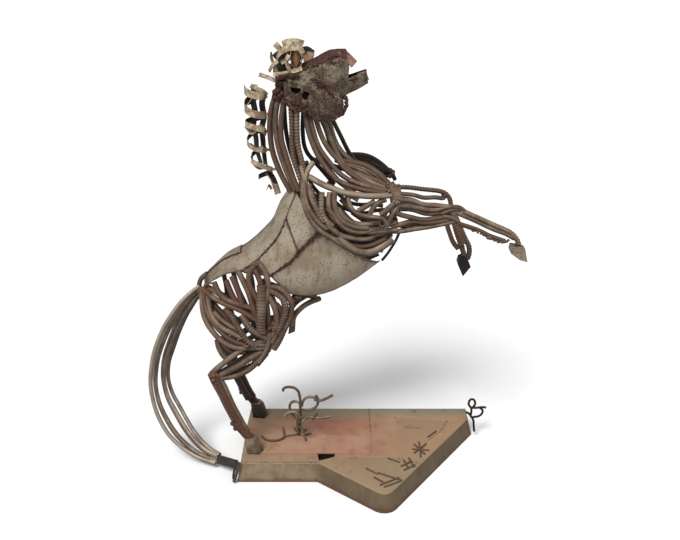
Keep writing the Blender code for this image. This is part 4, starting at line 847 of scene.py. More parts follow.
THIGH_RIBBED = [
    [(224.5, 308, -11.2), (231.5, 316.5, -12.2), (236.5, 324.5, -12.8), (241.5, 333, -13.3),
     (248, 341.5, -13.2),
     (256, 347, -12.8)],
    [(242, 315.5, -13.4), (246.5, 323, -13.8), (251.5, 329.5, -14), (258.5, 334, -13.9), (267, 338, -13.2)],
]
THIGH_MORE = [
    [(203.5, 290, -6.4), (205, 304, -8.2), (211, 319, -10.4), (221, 332, -11.8), (233, 340.5, -12.6),
     (246, 345, -12.8)],
    [(242, 338, -13.2), (255, 344, -13), (268, 345, -12.6)],
    [(214, 312, -9.6), (222, 320, -10.8), (232, 327, -11.6), (244, 334, -12.4)],
    [(226, 280, -9.8), (230.5, 291, -11), (236, 301, -12), (243, 309, -12.8)],
    [(246, 288, -12), (252, 299, -12.8), (257, 312, -13.4), (262, 321, -13.6)],
    [(266, 298, -13), (268, 314, -13.4), (268, 329, -13.2), (264, 342, -12.8)],
    [(236, 342, -12), (250, 343, -12.2), (262, 341, -12.4), (271, 334, -12.6)],
    [(205, 287, -5), (215, 292, -8), (228, 301, -10.6), (243, 311, -12.6), (256, 318, -13.6)],
]
THIGH_SHADOWS = [
    [(208, 288, -3), (212, 305, -6), (220, 322, -8), (234, 336, -9)],
    [(210, 300, -5), (225, 316, -8), (240, 334, -9.6)],
    [(262, 288, -10), (276, 292, -10.4), (284, 304, -10.4), (282, 322, -10)],
    [(236, 351, -10), (250, 353, -10), (264, 350, -10)],
    [(240, 316, -9), (250, 330, -10), (262, 342, -10.4)],
    [(270, 284, -9), (284, 289, -8), (300, 294, -6), (316, 297, -4)],
]
THICK = [(261.5, 285, -13.4), (261.5, 299.5, -14.2), (261.5, 312, -14.5), (261, 324, -14.4), (262, 332, -14)]
thigh = bars(THIGH_PLAIN, plain_bar, thickness=THIGH_BAR, tone=0.2, rust=0.3)
thigh += bars(THIGH_MORE, plain_bar, thickness=STOUT_BAR, rust=0.5)
thigh += bars(THIGH_SHADOWS, plain_bar, thickness=STOUT_BAR, tone=IN_SHADOW)
thigh += bars(THIGH_RIBBED, ribbed_bar, thickness=THIGH_BAR, tone=0.1)
thigh += bars([THICK], ribbed_bar, thickness=0.0260, rust=0.2)
thigh += knot(seen(202, 290, -5.6), 0.010, 12) + knot(seen(246, 346, -13), 0.010, 12, size=0.0055)
thigh += knot(seen(262, 334, -14), 0.012, 20) + knot(seen(256, 264, -12), 0.008, 8)
thigh += bead([seen(214, 283, -8.2), seen(209, 283.5, -7.4), seen(204, 288, -6)], size=0.0036)
piece("thigh bars near", thigh, rusty_finish, "rusty_bar", "thigh_bars_near")

# %% Near stifle
STIFLE_PLAIN = [
    [(269, 286.5, -12.8), (278, 288, -13), (286, 294, -13), (291.5, 303, -12.9), (291, 313, -12.7),
     (287, 324, -12.6),
     (280, 337, -12.4), (272, 348, -12.2)],
    [(268.5, 296, -13.2), (273, 304, -13.5), (276, 313, -13.6), (276.5, 324, -13.4), (272, 336, -13)],
    [(319.5, 298.5, -3), (309.5, 302.5, -6), (299.5, 309.5, -9), (294, 316.5, -11), (291.5, 326, -12)],
    [(269, 332, -13.4), (268, 345, -12.8), (263.5, 355, -12.6), (259, 362, -12.4)],
]
STIFLE_RIBBED = [
    [(269.5, 290.5, -13.3), (277.5, 294.5, -13.6), (284.5, 302, -13.6), (285.5, 312, -13.5),
     (282, 322, -13.3),
     (277, 332, -13), (272, 342, -12.6)],
    [(284, 330, -12.9), (279, 341, -12.7), (274, 349, -12.4)],
]
stifle = bars(STIFLE_PLAIN, plain_bar, thickness=THIGH_BAR, tone=0.1, rust=0.3)
stifle += bars(STIFLE_RIBBED, ribbed_bar, thickness=THIGH_BAR, rust=0.4)
stifle += bars([[(271, 301, -12.6), (279, 307, -12.8), (282, 317, -12.6), (279, 330, -12.4),
                 (271, 343, -12)]], plain_bar,
               thickness=STOUT_BAR, tone=-0.4, rust=0.6)
stifle += knot(seen(296, 298, -9), 0.012, 16, size=0.0080, tone=-0.8, rust=0.6)
stifle += knot(seen(272, 327, -13.4), 0.014, 18) + knot(seen(281, 333, -12.8), 0.008, 8)
stifle += bead([seen(278, 326, -13.6), seen(276, 336, -13.2), seen(270, 350, -12.6),
                seen(262, 362, -12.4)], size=0.0034)
piece("stifle bars near", stifle, rusty_finish, "rusty_bar", "stifle_bars_near")

# %% Far haunch
FAR_THIGH = [
    [(222, 268, 10.4), (226, 284, 11.2), (228, 300, 12), (233, 316, 12.6), (240, 332, 12.6)],
    [(206, 286, 6), (213, 301, 8.6), (222, 315, 10.8), (232, 330, 12), (246, 341, 12.4)],
    [(201, 288, 5), (205, 306, 7), (212, 322, 9.4), (224, 334, 11.2), (241, 346, 12)],
    [(232, 268, 11), (238, 288, 12), (246, 305, 12.8), (254, 325, 13), (258, 342, 12.4)],
    [(205, 285, 6), (222, 294, 10), (240, 303, 12.2), (256, 312, 13.2)],
    [(246, 262, 11.6), (252, 280, 12.6), (254, 300, 13.4), (257, 320, 13.4), (258, 340, 12.6)],
]
FAR_STIFLE = [[(262, 280, 12.6), (275, 288, 12.8), (284, 298, 12.8), (284, 314, 12.6), (277, 330, 12.4),
               (266, 344, 12.2)],
              [(262, 282, 13), (272, 296, 13.3), (276, 312, 13.3), (271, 328, 13), (262, 342, 12.6)],
              [(318, 290, 3), (304, 297, 7), (293, 306, 10.4), (287, 320, 12)]]
far_thigh = bars(FAR_THIGH, plain_bar, thickness=STOUT_BAR) + knot(seen(256, 343, 12.4), 0.010, 10)
piece("thigh bars far", far_thigh, rusty_finish, "rusty_bar", "thigh_bars_far")
far_stifle = bars(FAR_STIFLE, plain_bar, thickness=STOUT_BAR) + knot(seen(266, 340, 12.4), 0.010, 10)
piece("stifle bars far", far_stifle, rusty_finish, "rusty_bar", "stifle_bars_far")

# %% [markdown]
# ## Hind legs below the knee
# A few bars slant down and back to the hock, where they are lost in weld. From there three bars run
# down to the fetlock and into a hoof folded from plate. Both hind legs are alike, so the far one is
# the mirror of the near one.

# %% Gaskins and hind cannons
GASKIN = [[(248, 345, -12.7), (237, 353, -12.4), (228, 360, -12), (219, 367, -11.6), (211, 374.5, -11)]]
GASKIN_RIBBED = [[(263, 351, -12.4), (252, 357, -12.3), (241.5, 364, -12), (231.5, 369.5, -11.6),
                  (219, 375.5, -11)]]
GASKIN_LOW = [[(264, 353, -12), (258, 361, -12), (251, 368, -11.8), (243, 373, -11.5), (233, 376, -11.2),
               (218, 378.5, -11)],
              [(217, 340, -10.6), (219, 348, -10.8), (225, 357, -11), (229, 360, -11.4)]]
GASKIN_DARK = [[(254, 351, -10.4), (241, 359, -10.4), (229, 367, -10.2), (218, 374, -10)],
               [(262, 357, -10.4), (250, 366, -10.4), (236, 372, -10.2), (221, 377, -10)],
               [(222, 344, -10.6), (233, 352, -10.8), (246, 352, -11)]]
SHIN = [[(210, 374, -11), (214.5, 384, -11), (220, 394, -11), (225, 404, -11), (230, 413, -10.8),
         (234.5, 421, -10.6),
         (239, 429, -10.5)],
        [(219, 377, -11), (224, 385, -11), (228.5, 395, -11), (233, 405, -10.9), (238, 414, -10.7),
         (243.5, 424, -10.5),
         (248, 431, -10.5)]]
SHIN_DARK = [[(214, 376, -9.4), (222, 391, -9.4), (231, 408, -9.4), (243, 429, -9.2)]]
SHIN_RIBBED = [[(216, 379, -11.4), (221, 389, -11.4), (226, 399, -11.4), (231, 409, -11.3),
                (236, 418, -11.1), (243, 429, -11)]]
PASTERN = [(235, 421, -10.5), (241, 428, -10.5), (248, 436, -10.5), (254, 444, -10.5)]


def lower_leg(name, place):
    """Gaskin, shin and pastern of one hind leg; place turns pixel paths into places."""
    gaskin = [plain_bar(place(line), thickness=0.0175, tone=0.1, rust=0.3) for line in GASKIN + GASKIN_LOW]
    gaskin += [ribbed_bar(place(line), thickness=0.0185, rust=0.3) for line in GASKIN_RIBBED]
    gaskin += [plain_bar(place(line), thickness=STOUT_BAR, tone=IN_SHADOW) for line in GASKIN_DARK]
    gaskin += knot(place([(215, 376, -11)])[0], 0.015, 30, size=0.0080, rust=0.8)
    piece("gaskin bars " + name, gaskin, bar_finish, "bar", "gaskin_bars_" + name)
    shin = [plain_bar(place(line), thickness=0.0155, rust=0.6) for line in SHIN]
    shin += [ribbed_bar(place(line), thickness=0.0160, tone=-0.2, rust=0.8) for line in SHIN_RIBBED]
    shin += [plain_bar(place(line), thickness=0.0230, tone=IN_SHADOW) for line in SHIN_DARK]
    shin.append(plain_bar(place(PASTERN), thickness=0.0280, rust=0.4))
    shin += knot(place([(236, 425, -10.6)])[0], 0.012, 22, size=0.0070, rust=0.6)
    shin += knot(place([(216, 381, -11)])[0], 0.010, 12, size=0.0060)
    piece("hind cannon " + name, shin, rusty_finish, "rusty_bar", "hind_cannon_" + name)


lower_leg("near", lambda line: [seen(*point) for point in line])
lower_leg("far", mirrored)

# %% [markdown]
# ## Tail
# Six smooth round bars sweep out behind and come back to the plinth's corner, where they are
# welded to a short lug. An outer and an inner bar are drawn, and the others are spread between
# them, none quite evenly.

# %% Tail
TAIL_OUTER = [(-41.6, -0.4, 50.5), (-45.6, -1.6, 47.6), (-49.2, -2.6, 43.6), (-53.8, -3.6, 36),
              (-57.4, -4, 24.4),
              (-57.6, -4, 14.3), (-55.2, -5, 6), (-50.6, -7, 0.4), (-45.2, -9, -2.7), (-38.3, -11.4, -4)]
TAIL_INNER = [(-41.2, 0.6, 48.5), (-44.6, 1.6, 43.2), (-47.6, 3, 37.8), (-51.4, 4, 28.8), (-53.9, 4, 20.1),
              (-53.4, 3, 14.2), (-50.2, 0, 9.1), (-45.6, -4, 2.8), (-40.3, -8, -1), (-37, -10.5, -1.6)]
TAIL_SPREAD = [(0.0, 0.0), (0.16, 0.5), (0.36, -0.5), (0.60, 0.6), (0.82, -0.4), (1.0, 0.0)]
tail = []
for share, aside in TAIL_SPREAD:
    line = []
    for i, (a, b) in enumerate(zip(TAIL_OUTER, TAIL_INNER)):
        bow = aside * math.sin(math.pi * i / (len(TAIL_OUTER) - 1))
        line.append(at(a[0] + (b[0] - a[0]) * share + bow * 0.5, a[1] + (b[1] - a[1]) * share + bow * 2,
                       a[2] + (b[2] - a[2]) * share + bow * 0.4))
    tail.append(plain_bar(line, thickness=0.0130, tone=0.3, rust=-0.2, sides=4))
tail += knot(at(-41.4, 0, 49.6), 0.012, 16) + bead([at(-38.2, -11.4, -3.9), at(-37, -10.6, -1.8)],
                                                   size=0.0042)
dock = plain_bar([at(-39.2, 0, 54.5), at(-41.2, 0, 52.6), at(-42, 0, 49.5)], thickness=STOUT_BAR,
                 tone=-0.2, rust=0.5)
piece("tail bars", tail + [dock], tail_finish, "tail_bar", "tail")

# %% [markdown]
# ## Curved sheet
# A sheet here is a grid whose points are moved onto the curved form, then given its thickness by
# Solidify and a small Bevel. The body's form is a barrel between a back line and a belly line. Its
# skin is cut into plates along seams that are given as shares along the barrel and round it.

# %% The barrel of the body
BACK_LINE = [(-41, 52.5), (-33.5, 60), (-27.5, 63.5), (-23, 67.5), (-19.5, 71.5), (-17, 77), (-13.5, 82)]
BELLY_LINE = [(-30, 42), (-23.5, 44), (-16.5, 44), (-9, 46.5), (-1.5, 49), (5.5, 53.5), (12, 59)]
HALF_WIDTH = [(8.5,), (11,), (12,), (12,), (12,), (11.5,), (10.5,)]


def along(points, t):
    """The point at share t of a smooth curve through the points."""
    last = len(points) - 1
    span = min(int(t * last), last - 1)
    f = t * last - span
    a, b, c, d = (points[max(0, min(last, span + k))] for k in (-1, 0, 1, 2))
    return tuple(0.5 * (2 * q + (r - p) * f + (2 * p - 5 * q + 4 * r - s) * f * f
                        + (3 * q - p - 3 * r + s) * f * f * f) for p, q, r, s in zip(a, b, c, d))


def barrel(s, turn, side, out=0.0):
    """A place on the skin at share s from rump to chest; turn is 0 at the spine, 1 at the belly."""
    bx, bh = along(BACK_LINE, s)
    ux, uh = along(BELLY_LINE, s)
    width = along(HALF_WIDTH, s)[0]
    cos, sin = math.cos(math.pi * turn), math.sin(math.pi * turn)
    place = at((bx + ux) / 2 + (bx - ux) / 2 * cos, side * width * sin, (bh + uh) / 2 + (bh - uh) / 2 * cos)
    middle = at((bx + ux) / 2, 0, (bh + uh) / 2)
    return place + (place - middle).normalized() * out


def roughen(sheet, amount, scale=30.0):
    """Uneven dents over a sheet, large and small together."""
    for vertex in sheet.data.vertices:
        vertex.co += vertex.normal * noise.fractal(vertex.co * scale, 0.8, 2.2, 4) * amount


def grid_sheet(place, wide, high, thickness, dent=0.0, rim=0.08, **marks):
    """A sheet whose point (a, b), both 0 to 1, is at place(a, b)."""
    deselect()
    bpy.ops.mesh.primitive_grid_add(x_subdivisions=wide, y_subdivisions=high, size=2)
    sheet = bpy.context.object
    values = []
    for vertex in sheet.data.vertices:
        a, b = (vertex.co.x + 1) / 2, (vertex.co.y + 1) / 2
        vertex.co = place(a, b)
        values.append(max(0.0, 1 - min(a, b, 1 - a, 1 - b) / rim))
    layer = sheet.data.attributes.new("edge", "FLOAT", "POINT")
    layer.data.foreach_set("value", values)
    if dent:
        roughen(sheet, dent)
    apply(sheet, "SOLIDIFY", thickness=thickness, offset=0.0)
    apply(sheet, "BEVEL", width=thickness * 0.25, segments=1, limit_method="ANGLE",
          angle_limit=math.radians(50))
    only(sheet)
    bpy.ops.object.mode_set(mode="EDIT")
    bpy.ops.mesh.select_all(action="SELECT")
    bpy.ops.mesh.normals_make_consistent(inside=False)
    bpy.ops.object.mode_set(mode="OBJECT")
    mark(sheet, **{"tone": 0.0, "rust": 0.0, "hollow": 0.0, **marks})
    return sheet


print("a place on the back:", tuple(round(c, 3) for c in barrel(0.5, 0.0, -1)))

# %% [markdown]
# ## The body's plates
# The near side has four plates: the back, the ribs behind the shoulder, the flank and the belly.
# Their edges wander a little and are closed by dark, uneven weld. The far side repeats the back
# plate and closes the rest with one sheet.

# %% Body plates
BACK_SEAM = [(0.03, 0.17), (0.14, 0.24), (0.25, 0.28), (0.40, 0.26), (0.54, 0.24), (0.68, 0.22),
             (0.82, 0.205),
             (0.91, 0.17), (1.0, 0.135)]
SPINE_SEAM = [(s, 0.0) for s, _ in BACK_SEAM]
RIB_SEAM = [(0.44, 0.42), (0.51, 0.416), (0.585, 0.412), (0.655, 0.409), (0.73, 0.405), (0.84, 0.415),
            (0.95, 0.425)]
BELLY_EDGE = [(0.47, 0.60), (0.52, 0.68), (0.60, 0.75), (0.70, 0.80), (0.80, 0.845), (0.89, 0.885),
              (1.0, 0.94)]
SKIN = 0.0030


def body_plate(upper, lower, side, out=-0.0015, wide=40, high=24):
    def place(a, b):
        top, bottom = along(upper, a), along(lower, a)
        s, turn = (p + (q - p) * (1 - b) for p, q in zip(top, bottom))
        return barrel(s, turn, side, out)
    return grid_sheet(place, wide, high, SKIN, dent=0.0009)


def seam_bead(seam, side, size=0.0030, step=0.0050):
    return bead([barrel(s, turn, side, 0.0006) for s, turn in seam], size=size, step=step, wander=0.0028)


NEAR, FAR = -1, 1
piece("back plate near", [body_plate(SPINE_SEAM, BACK_SEAM, NEAR)], body_finish, "body_plate",
      "back_plate_near")
piece("rib plate near", [body_plate(BACK_SEAM[6:], RIB_SEAM[4:], NEAR)], body_finish, "body_plate",
      "rib_plate_near")
piece("flank plate near", [body_plate(BACK_SEAM[2:7], RIB_SEAM[:5], NEAR)], body_finish, "body_plate",
      "flank_plate_near")
piece("belly plate near", [body_plate(RIB_SEAM, BELLY_EDGE, NEAR)], body_finish, "body_plate",
      "belly_plate_near")
piece("back plate far", [body_plate(SPINE_SEAM, BACK_SEAM, FAR)], body_finish, "body_plate", "back_plate_far")
piece("flank plate far", [body_plate(BACK_SEAM[2:], BELLY_EDGE, FAR, wide=50)], body_finish, "body_plate",
      "flank_plate_far")
CROUP = [(0.035, -0.05), (0.12, -0.05), (0.20, -0.05), (0.30, -0.04)]
CROUP_EDGE = [(0.035, 0.01), (0.12, 0.04), (0.20, 0.075), (0.30, 0.10)]
piece("croup strip", [body_plate(CROUP, CROUP_EDGE, NEAR, out=0.0018)], body_finish, "body_plate",
      "croup_strip")
seams = seam_bead(RIB_SEAM, NEAR, size=0.0040) + seam_bead([BACK_SEAM[6], RIB_SEAM[4]], NEAR, size=0.0032)
seams += seam_bead(BACK_SEAM[2:7], NEAR, size=0.0028, step=0.0060) + seam_bead([BACK_SEAM[2], RIB_SEAM[0]],
                                                                               NEAR)
seams += seam_bead(CROUP_EDGE, NEAR, size=0.0026)
piece("body seam weld", seams, weld_finish, "head_weld")

# %% [markdown]
# ## The head
# The head is a hollow box of plates with a lumpy nose bridge, a domed cheek, temple plates with
# two holes, and a lower jaw like a channel. Each plate is a grid drawn between an upper and a lower
# edge. The skin is rough, so the plates get stronger dents, and beads of maroon weld run along
# every edge.

# %% Plates between two edges
HEAD_SHEET = 0.0035


def between(upper, lower, bulge=0.0, side=-1, wide=44, high=24, dent=0.0016, thickness=HEAD_SHEET, **marks):
    """A plate between two drawn edges, its middle pushed outwards by bulge."""
    def place(a, b):
        top, bottom = along(upper, a), along(lower, a)
        x, y, h = (q + (p - q) * b for p, q in zip(top, bottom))
        swell = 16 * a * (1 - a) * b * (1 - b) * bulge
        return at(x, (y - swell) * -side, h)
    return grid_sheet(place, wide, high, thickness, dent=dent, **marks)


def edge_bead(line, side=-1, **settings):
    return bead([at(x, y * -side, h) for x, y, h in line], **settings)


FACE_TOP = [(-14.6, -4.2, 112.6), (-10.7, -3.4, 114.4), (-6.7, -3.0, 116), (-2.7, -2.9, 117.5),
            (0.6, -2.9, 117.6),
            (2.5, -2.9, 115.4)]
FACE_LOW = [(-13.6, -5.1, 110.2), (-10, -5.9, 110), (-7, -6.1, 109.6), (-4, -6.0, 109.4), (-1, -5.4, 109.2),
            (2.0, -3.5, 111.4)]
RIDGE_MID = [(-10.8, 0, 115.4), (-6.7, 0, 117.2), (-3.5, 0, 118.8), (-0.5, 0, 119.5), (1.6, 0, 119.4)]
TEMPLE_TOP = [(-15.2, -4.7, 111.8), (-12, -5.4, 111.2), (-8.6, -6.1, 110.6), (-6.6, -6.4, 109.2)]
TEMPLE_LOW = [(-14.6, -4.9, 105.2), (-12, -5.3, 103.9), (-9.6, -5.9, 103.8), (-7.8, -6.3, 105.2)]
JAW_TOP = [(-0.4, -5.3, 110.7), (1.8, -3.2, 112), (4.6, -2.3, 113), (7.2, -2.3, 113.9)]
JAW_LOW = [(-0.4, -5.3, 107.2), (2.4, -3, 108.3), (5, -2.4, 109.4), (7.6, -2.3, 111)]


def ridge_place(a, b):
    x, _, h = along(RIDGE_MID, a)
    across = 2 * b - 1
    return at(x + 0.2 * abs(across), 2.95 * across, h - 2.0 * abs(across) ** 2.4)


nose = [grid_sheet(ridge_place, 44, 24, 0.0040, dent=0.0024, rust=0.9)]
for side in (-1, 1):
    nose += edge_bead([(-10.5, -3, 113.9), (-6.7, -3.0, 115.6), (-2.7, -2.9, 117.3), (1, -2.9, 117.6)],
                      side, size=0.0034,
                      wander=0.0014)
piece("nose bridge", nose, head_finish, "head_plate", "nose_bridge")
for side, name in ((-1, "near"), (1, "far")):
    face = [between(FACE_TOP, FACE_LOW, bulge=0.35, side=side)]
    face += knot(at(-5.2, -5.9 * -side, 110.8), 0.008, 12, size=0.0042)
    face += edge_bead([(-5, -6.2, 110.4), (-3.2, -6.3, 109.4), (-1.2, -5.9, 108.4), (0.6, -5, 107.4)],
                      side, size=0.0036)
    face += edge_bead([(-0.9, -3.3, 116.3), (0.2, -3.4, 116.7), (1.2, -3.3, 116.1)], side, size=0.0028)
    piece("face plate " + name, face, head_finish, "head_plate", "face_plate_" + name)

# %% Cheeks, temples and jaw
def cheek_place(side):
    def place(a, b):
        u, v = 2 * a - 1, 2 * b - 1
        stretch = max(abs(u), abs(v), 1e-6) / max(math.hypot(u, v), 1e-6)
        u, v = u * stretch, v * stretch
        rise = 1.35 * (1 - (u * u + v * v)) ** 0.8 if u * u + v * v < 1 else 0.0
        return at(-4 + 4.9 * u, -(6.0 + rise) * -side, 105.7 + 4.8 * v)
    return place


for side, name in ((-1, "near"), (1, "far")):
    cheek = [grid_sheet(cheek_place(side), 36, 36, HEAD_SHEET, dent=0.0018, rust=0.3)]
    cheek += bead([at(-4 + 4.8 * math.cos(t), -6.1 * -side, 105.7 + 4.7 * math.sin(t))
                   for t in (k * math.pi / 6 for k in range(13))], size=0.0030, wander=0.0012)
    piece("cheek plate " + name, cheek, head_finish, "head_plate", "cheek_plate_" + name)
    temple = [between(TEMPLE_TOP, TEMPLE_LOW, bulge=0.2, side=side, rust=0.4)]
    cutters = []
    for x, h, radius in ((-11.8, 110, 0.0135), (-9.1, 108.2, 0.0115)):
        deselect()
        bpy.ops.mesh.primitive_cylinder_add(vertices=24, radius=radius, depth=0.05,
                                            location=at(x, -5.4 * -side, h),
                                            rotation=(math.pi / 2, 0, 0))
        cutters.append(bpy.context.object)
        temple += bead([at(x + radius * 105 * math.cos(t), -5.9 * -side, h + radius * 105 * math.sin(t))
                        for t in (k * math.pi / 5 for k in range(2, 8))], size=0.0022)
    for cutter in cutters:
        settle(cutter)
        apply(temple[0], "BOOLEAN", object=cutter, operation="DIFFERENCE", solver="EXACT")
        bpy.data.objects.remove(cutter, do_unlink=True)
    mark(temple[0], edge=0.3, rust=0.4)
    temple += knot(at(-11.4, -5.7 * -side, 104.8), 0.012, 16, size=0.0048)
    piece("temple plate " + name, temple, head_finish, "head_weld", "temple_plate_" + name)
jaw = [between(JAW_TOP, JAW_LOW, side=-1), between(JAW_TOP, JAW_LOW, side=1)]


def jaw_floor(a, b):
    x, y, h = along(JAW_LOW, a)
    return at(x, y * (2 * b - 1), h)


jaw.append(grid_sheet(jaw_floor, 16, 8, HEAD_SHEET, dent=0.0006))
piece("lower jaw", jaw, head_finish, "head_plate", "lower_jaw")
# The throat plate is near-black, as painted shade under the head.
piece("throat plate", [grid_sheet(lambda a,
                                  b: at(-9.8 + 8.4 * a, 5.4 * (2 * b - 1),
                                        102.4 - 0.9 * math.sin(math.pi * a)),
                                  10, 10, HEAD_SHEET, dent=0.0008)], black_and_shade_finish, "head_weld", "throat_plate")


def quad(near_start, near_end, far_start, far_end):
    """A flat place between four corners on lines of sight."""
    corners = [seen(*corner) for corner in (near_start, near_end, far_start, far_end)]
    return lambda a, b: corners[0].lerp(corners[1], a).lerp(corners[2].lerp(corners[3], a), b)


lip = grid_sheet(quad((338, 52.5, -2.6), (352, 67.5, -2.6), (345, 49.5, 2.4), (357, 61.5, 2.4)), 14, 10,
                 HEAD_SHEET, dent=0.0008)
chin = grid_sheet(quad((357.5, 73.5, -2.4), (360.5, 81, -2.4), (365.5, 71, 1.6), (369, 80, 0.6)), 14, 10,
                  HEAD_SHEET, dent=0.0008)
piece("lip plate", [lip], copper_finish, "copper_plate", "lip_plate")
piece("chin plate", [chin], copper_finish, "copper_plate", "chin_plate")
# Most of these are seams. The thick beads from (296, 76), (337, 95) and (291, 101) lie in the dark gaps
# between ear and temple, beside the cheek and under the temple: their dark weld is painted shade.
HEAD_SEAMS_AND_SHADE_WELDS = [
    ([(312, 79, -6.2), (319, 82, -6.4), (325, 86, -6.6), (330, 92.5, -6.7), (335, 99, -6.6),
      (338, 103, -6.3)], 0.0050),
    ([(337, 95, -5.9), (344, 97.5, -5.6), (347, 104, -5.6), (344, 111, -5.8), (338, 116, -6)], 0.0070),
    ([(330, 62, -3.6), (336, 64, -3.6), (341, 66.5, -3.4), (346, 71, -3)], 0.0050),
    ([(301, 70.5, -3.6), (312, 67, -3.4), (322, 62.5, -3.2), (331, 58, -3), (338, 56.5, -2.9)], 0.0048),
    ([(347, 79, -2.8), (352, 80, -2.7), (358, 78, -2.6)], 0.0042),
    ([(296, 76, -5), (289, 75, -4.8), (282, 76, -4.4), (277, 79, -3.6)], 0.0080),
    ([(291, 101, -5.6), (297, 104, -5.8), (304, 106, -6.2), (309, 103, -6.4)], 0.0060),
    ([(317, 86, -6.5), (321, 84.5, -6.5), (320, 88, -6.6)], 0.0055),
]
seams = []
for line, size in HEAD_SEAMS_AND_SHADE_WELDS:
    seams += bead([seen(*point) for point in line], size=size, step=size * 0.85, wander=0.0022, rust=0.5)
piece("head seam weld", seams, weld_finish, "head_weld")
poll = []
for side in (-1, 1):
    poll += knot(at(-16.6, -1.4 * -side, 107.6), 0.020, 26, size=0.0085)
    poll += knot(at(-15.8, -2.4 * -side, 111.2), 0.017, 24, size=0.0080)
    poll += knot(at(-13.4, -3.8 * -side, 105.6), 0.015, 22, size=0.0075)
poll.append(plain_bar([at(-16.6, 0, 106.5), at(-16.2, 0, 109.5), at(-15.4, 0, 112)], thickness=0.030))
piece("poll weld", poll, weld_finish, "head_weld", "poll_weld")

# %% [markdown]
# ## Ribbons: ears, forelock and mane
# Flat strip about 20 mm wide was rolled into curls, cream where it caught the light and dark in
# the hollows, and that dark is painted shade. A ribbon is a long narrow grid, laid along a path with
# its width in a chosen direction. Its path is drawn on the figure or along lines of sight. The face
# that looks towards the path's middle is the hollow one, and it is painted dark as shade.

# %% Ribbons
STRIP = 0.0024


def ribbon(points, width, wide_way=(0, 1, 0), steps=None, turn=0.0, hollow_to=None, place=at):
    """A strip along the drawn points, its width along wide_way, twisted by turn from end to end."""
    steps = steps or 8 * (len(points) - 1)
    places = [place(*along(points, i / steps)) for i in range(steps + 1)]
    centre = at(*hollow_to) if hollow_to else sum(places, Vector()) / len(places)
    deselect()
    bpy.ops.mesh.primitive_grid_add(x_subdivisions=steps, y_subdivisions=4, size=2)
    strip = bpy.context.object
    for vertex in strip.data.vertices:
        i = round((vertex.co.x + 1) / 2 * steps)
        way = (places[min(i + 1, steps)] - places[max(i - 1, 0)]).normalized()
        lay = Vector(wide_way)
        lay = (lay - way * lay.dot(way)).normalized()
        lay = Matrix.Rotation(turn * i / steps, 3, way) @ lay
        vertex.co = places[i] + lay * vertex.co.y * width / 2
    apply(strip, "SOLIDIFY", thickness=STRIP, offset=0.0)
    only(strip)
    bpy.ops.object.mode_set(mode="EDIT")
    bpy.ops.mesh.select_all(action="SELECT")
    bpy.ops.mesh.normals_make_consistent(inside=False)
    bpy.ops.object.mode_set(mode="OBJECT")
    mark(strip, tone=0.0, rust=0.0, edge=0.0, hollow=0.0)
    strip.data.update()
    # Painted shade: faces that look towards the hollow's centre are marked to be painted dark.
    hollow = []
    for vertex in strip.data.vertices:
        inwards = centre - vertex.co
        hollow.append(1.0 if inwards.dot(vertex.normal) > 0.25 * inwards.length else 0.0)
    strip.data.attributes["hollow"].data.foreach_set("value", hollow)
    return strip


print("ribbons can be rolled")

# %% Ears and forelock
EAR = [(-11.4, 114.6), (-12.9, 116.2), (-13.1, 118.6), (-11.9, 121.1), (-10.6, 119.2), (-10.2, 116.6),
       (-11.2, 114.6)]
for name, y in (("near", -3.0), ("far", 3.0)):
    loop = ribbon([(x, y, h) for x, h in EAR], 0.014, hollow_to=(-11.7, y, 117.6))
    dish = grid_sheet(lambda a, b: at(-11.7 + (a - 0.5) * 2.4 * math.sin(math.pi * (0.12 + 0.82 * b)),
                                      y + 0.5 - 0.6 * math.sin(math.pi * a), 114.9 + 5.6 * b), 10, 14, STRIP)
    mark(dish, hollow=0.0, rust=0.8)
    piece("ear " + name, [loop, dish], mane_finish, "mane_strip", "ear_" + name)
FORELOCK = [
    ([(282.5, 44.5, 0), (287, 42.5, -0.4), (293, 42, -0.6), (299, 42.5, -0.4), (303.5, 44, -0.2)], 0.0190),
    ([(277, 58, -0.6), (280, 53, -1.6), (285, 49.5, -3), (292, 47.5, -3.6), (299, 48, -3.6),
      (303, 54, -3.4)], 0.0170),
    ([(275, 43.5, 0), (278, 47, 0), (282, 51, 0)], 0.0160),
    ([(271, 52, 0.5), (271.5, 58, 0.4), (274, 65, 0.2), (277, 72, 0)], 0.0090),
    ([(269, 71.5, 0), (273, 65, -0.4), (278, 61, -0.6)], 0.0110),
    ([(281, 62.5, -0.6), (285.5, 60, -0.8), (291, 57, -1)], 0.0130),
    ([(290, 71, -3.8), (287.5, 65, -3.8), (286.5, 60, -3.8), (289, 55, -3.6)], 0.0110),
    ([(259, 74.5, 0), (267, 77, 0), (275, 80.5, 0)], 0.0120),
    ([(273, 74.5, -2), (284, 73.5, -3), (294, 71, -4), (302, 68.5, -4)], 0.0110),
    ([(251, 86.5, 0), (257.5, 87.5, 0)], 0.0150),
]
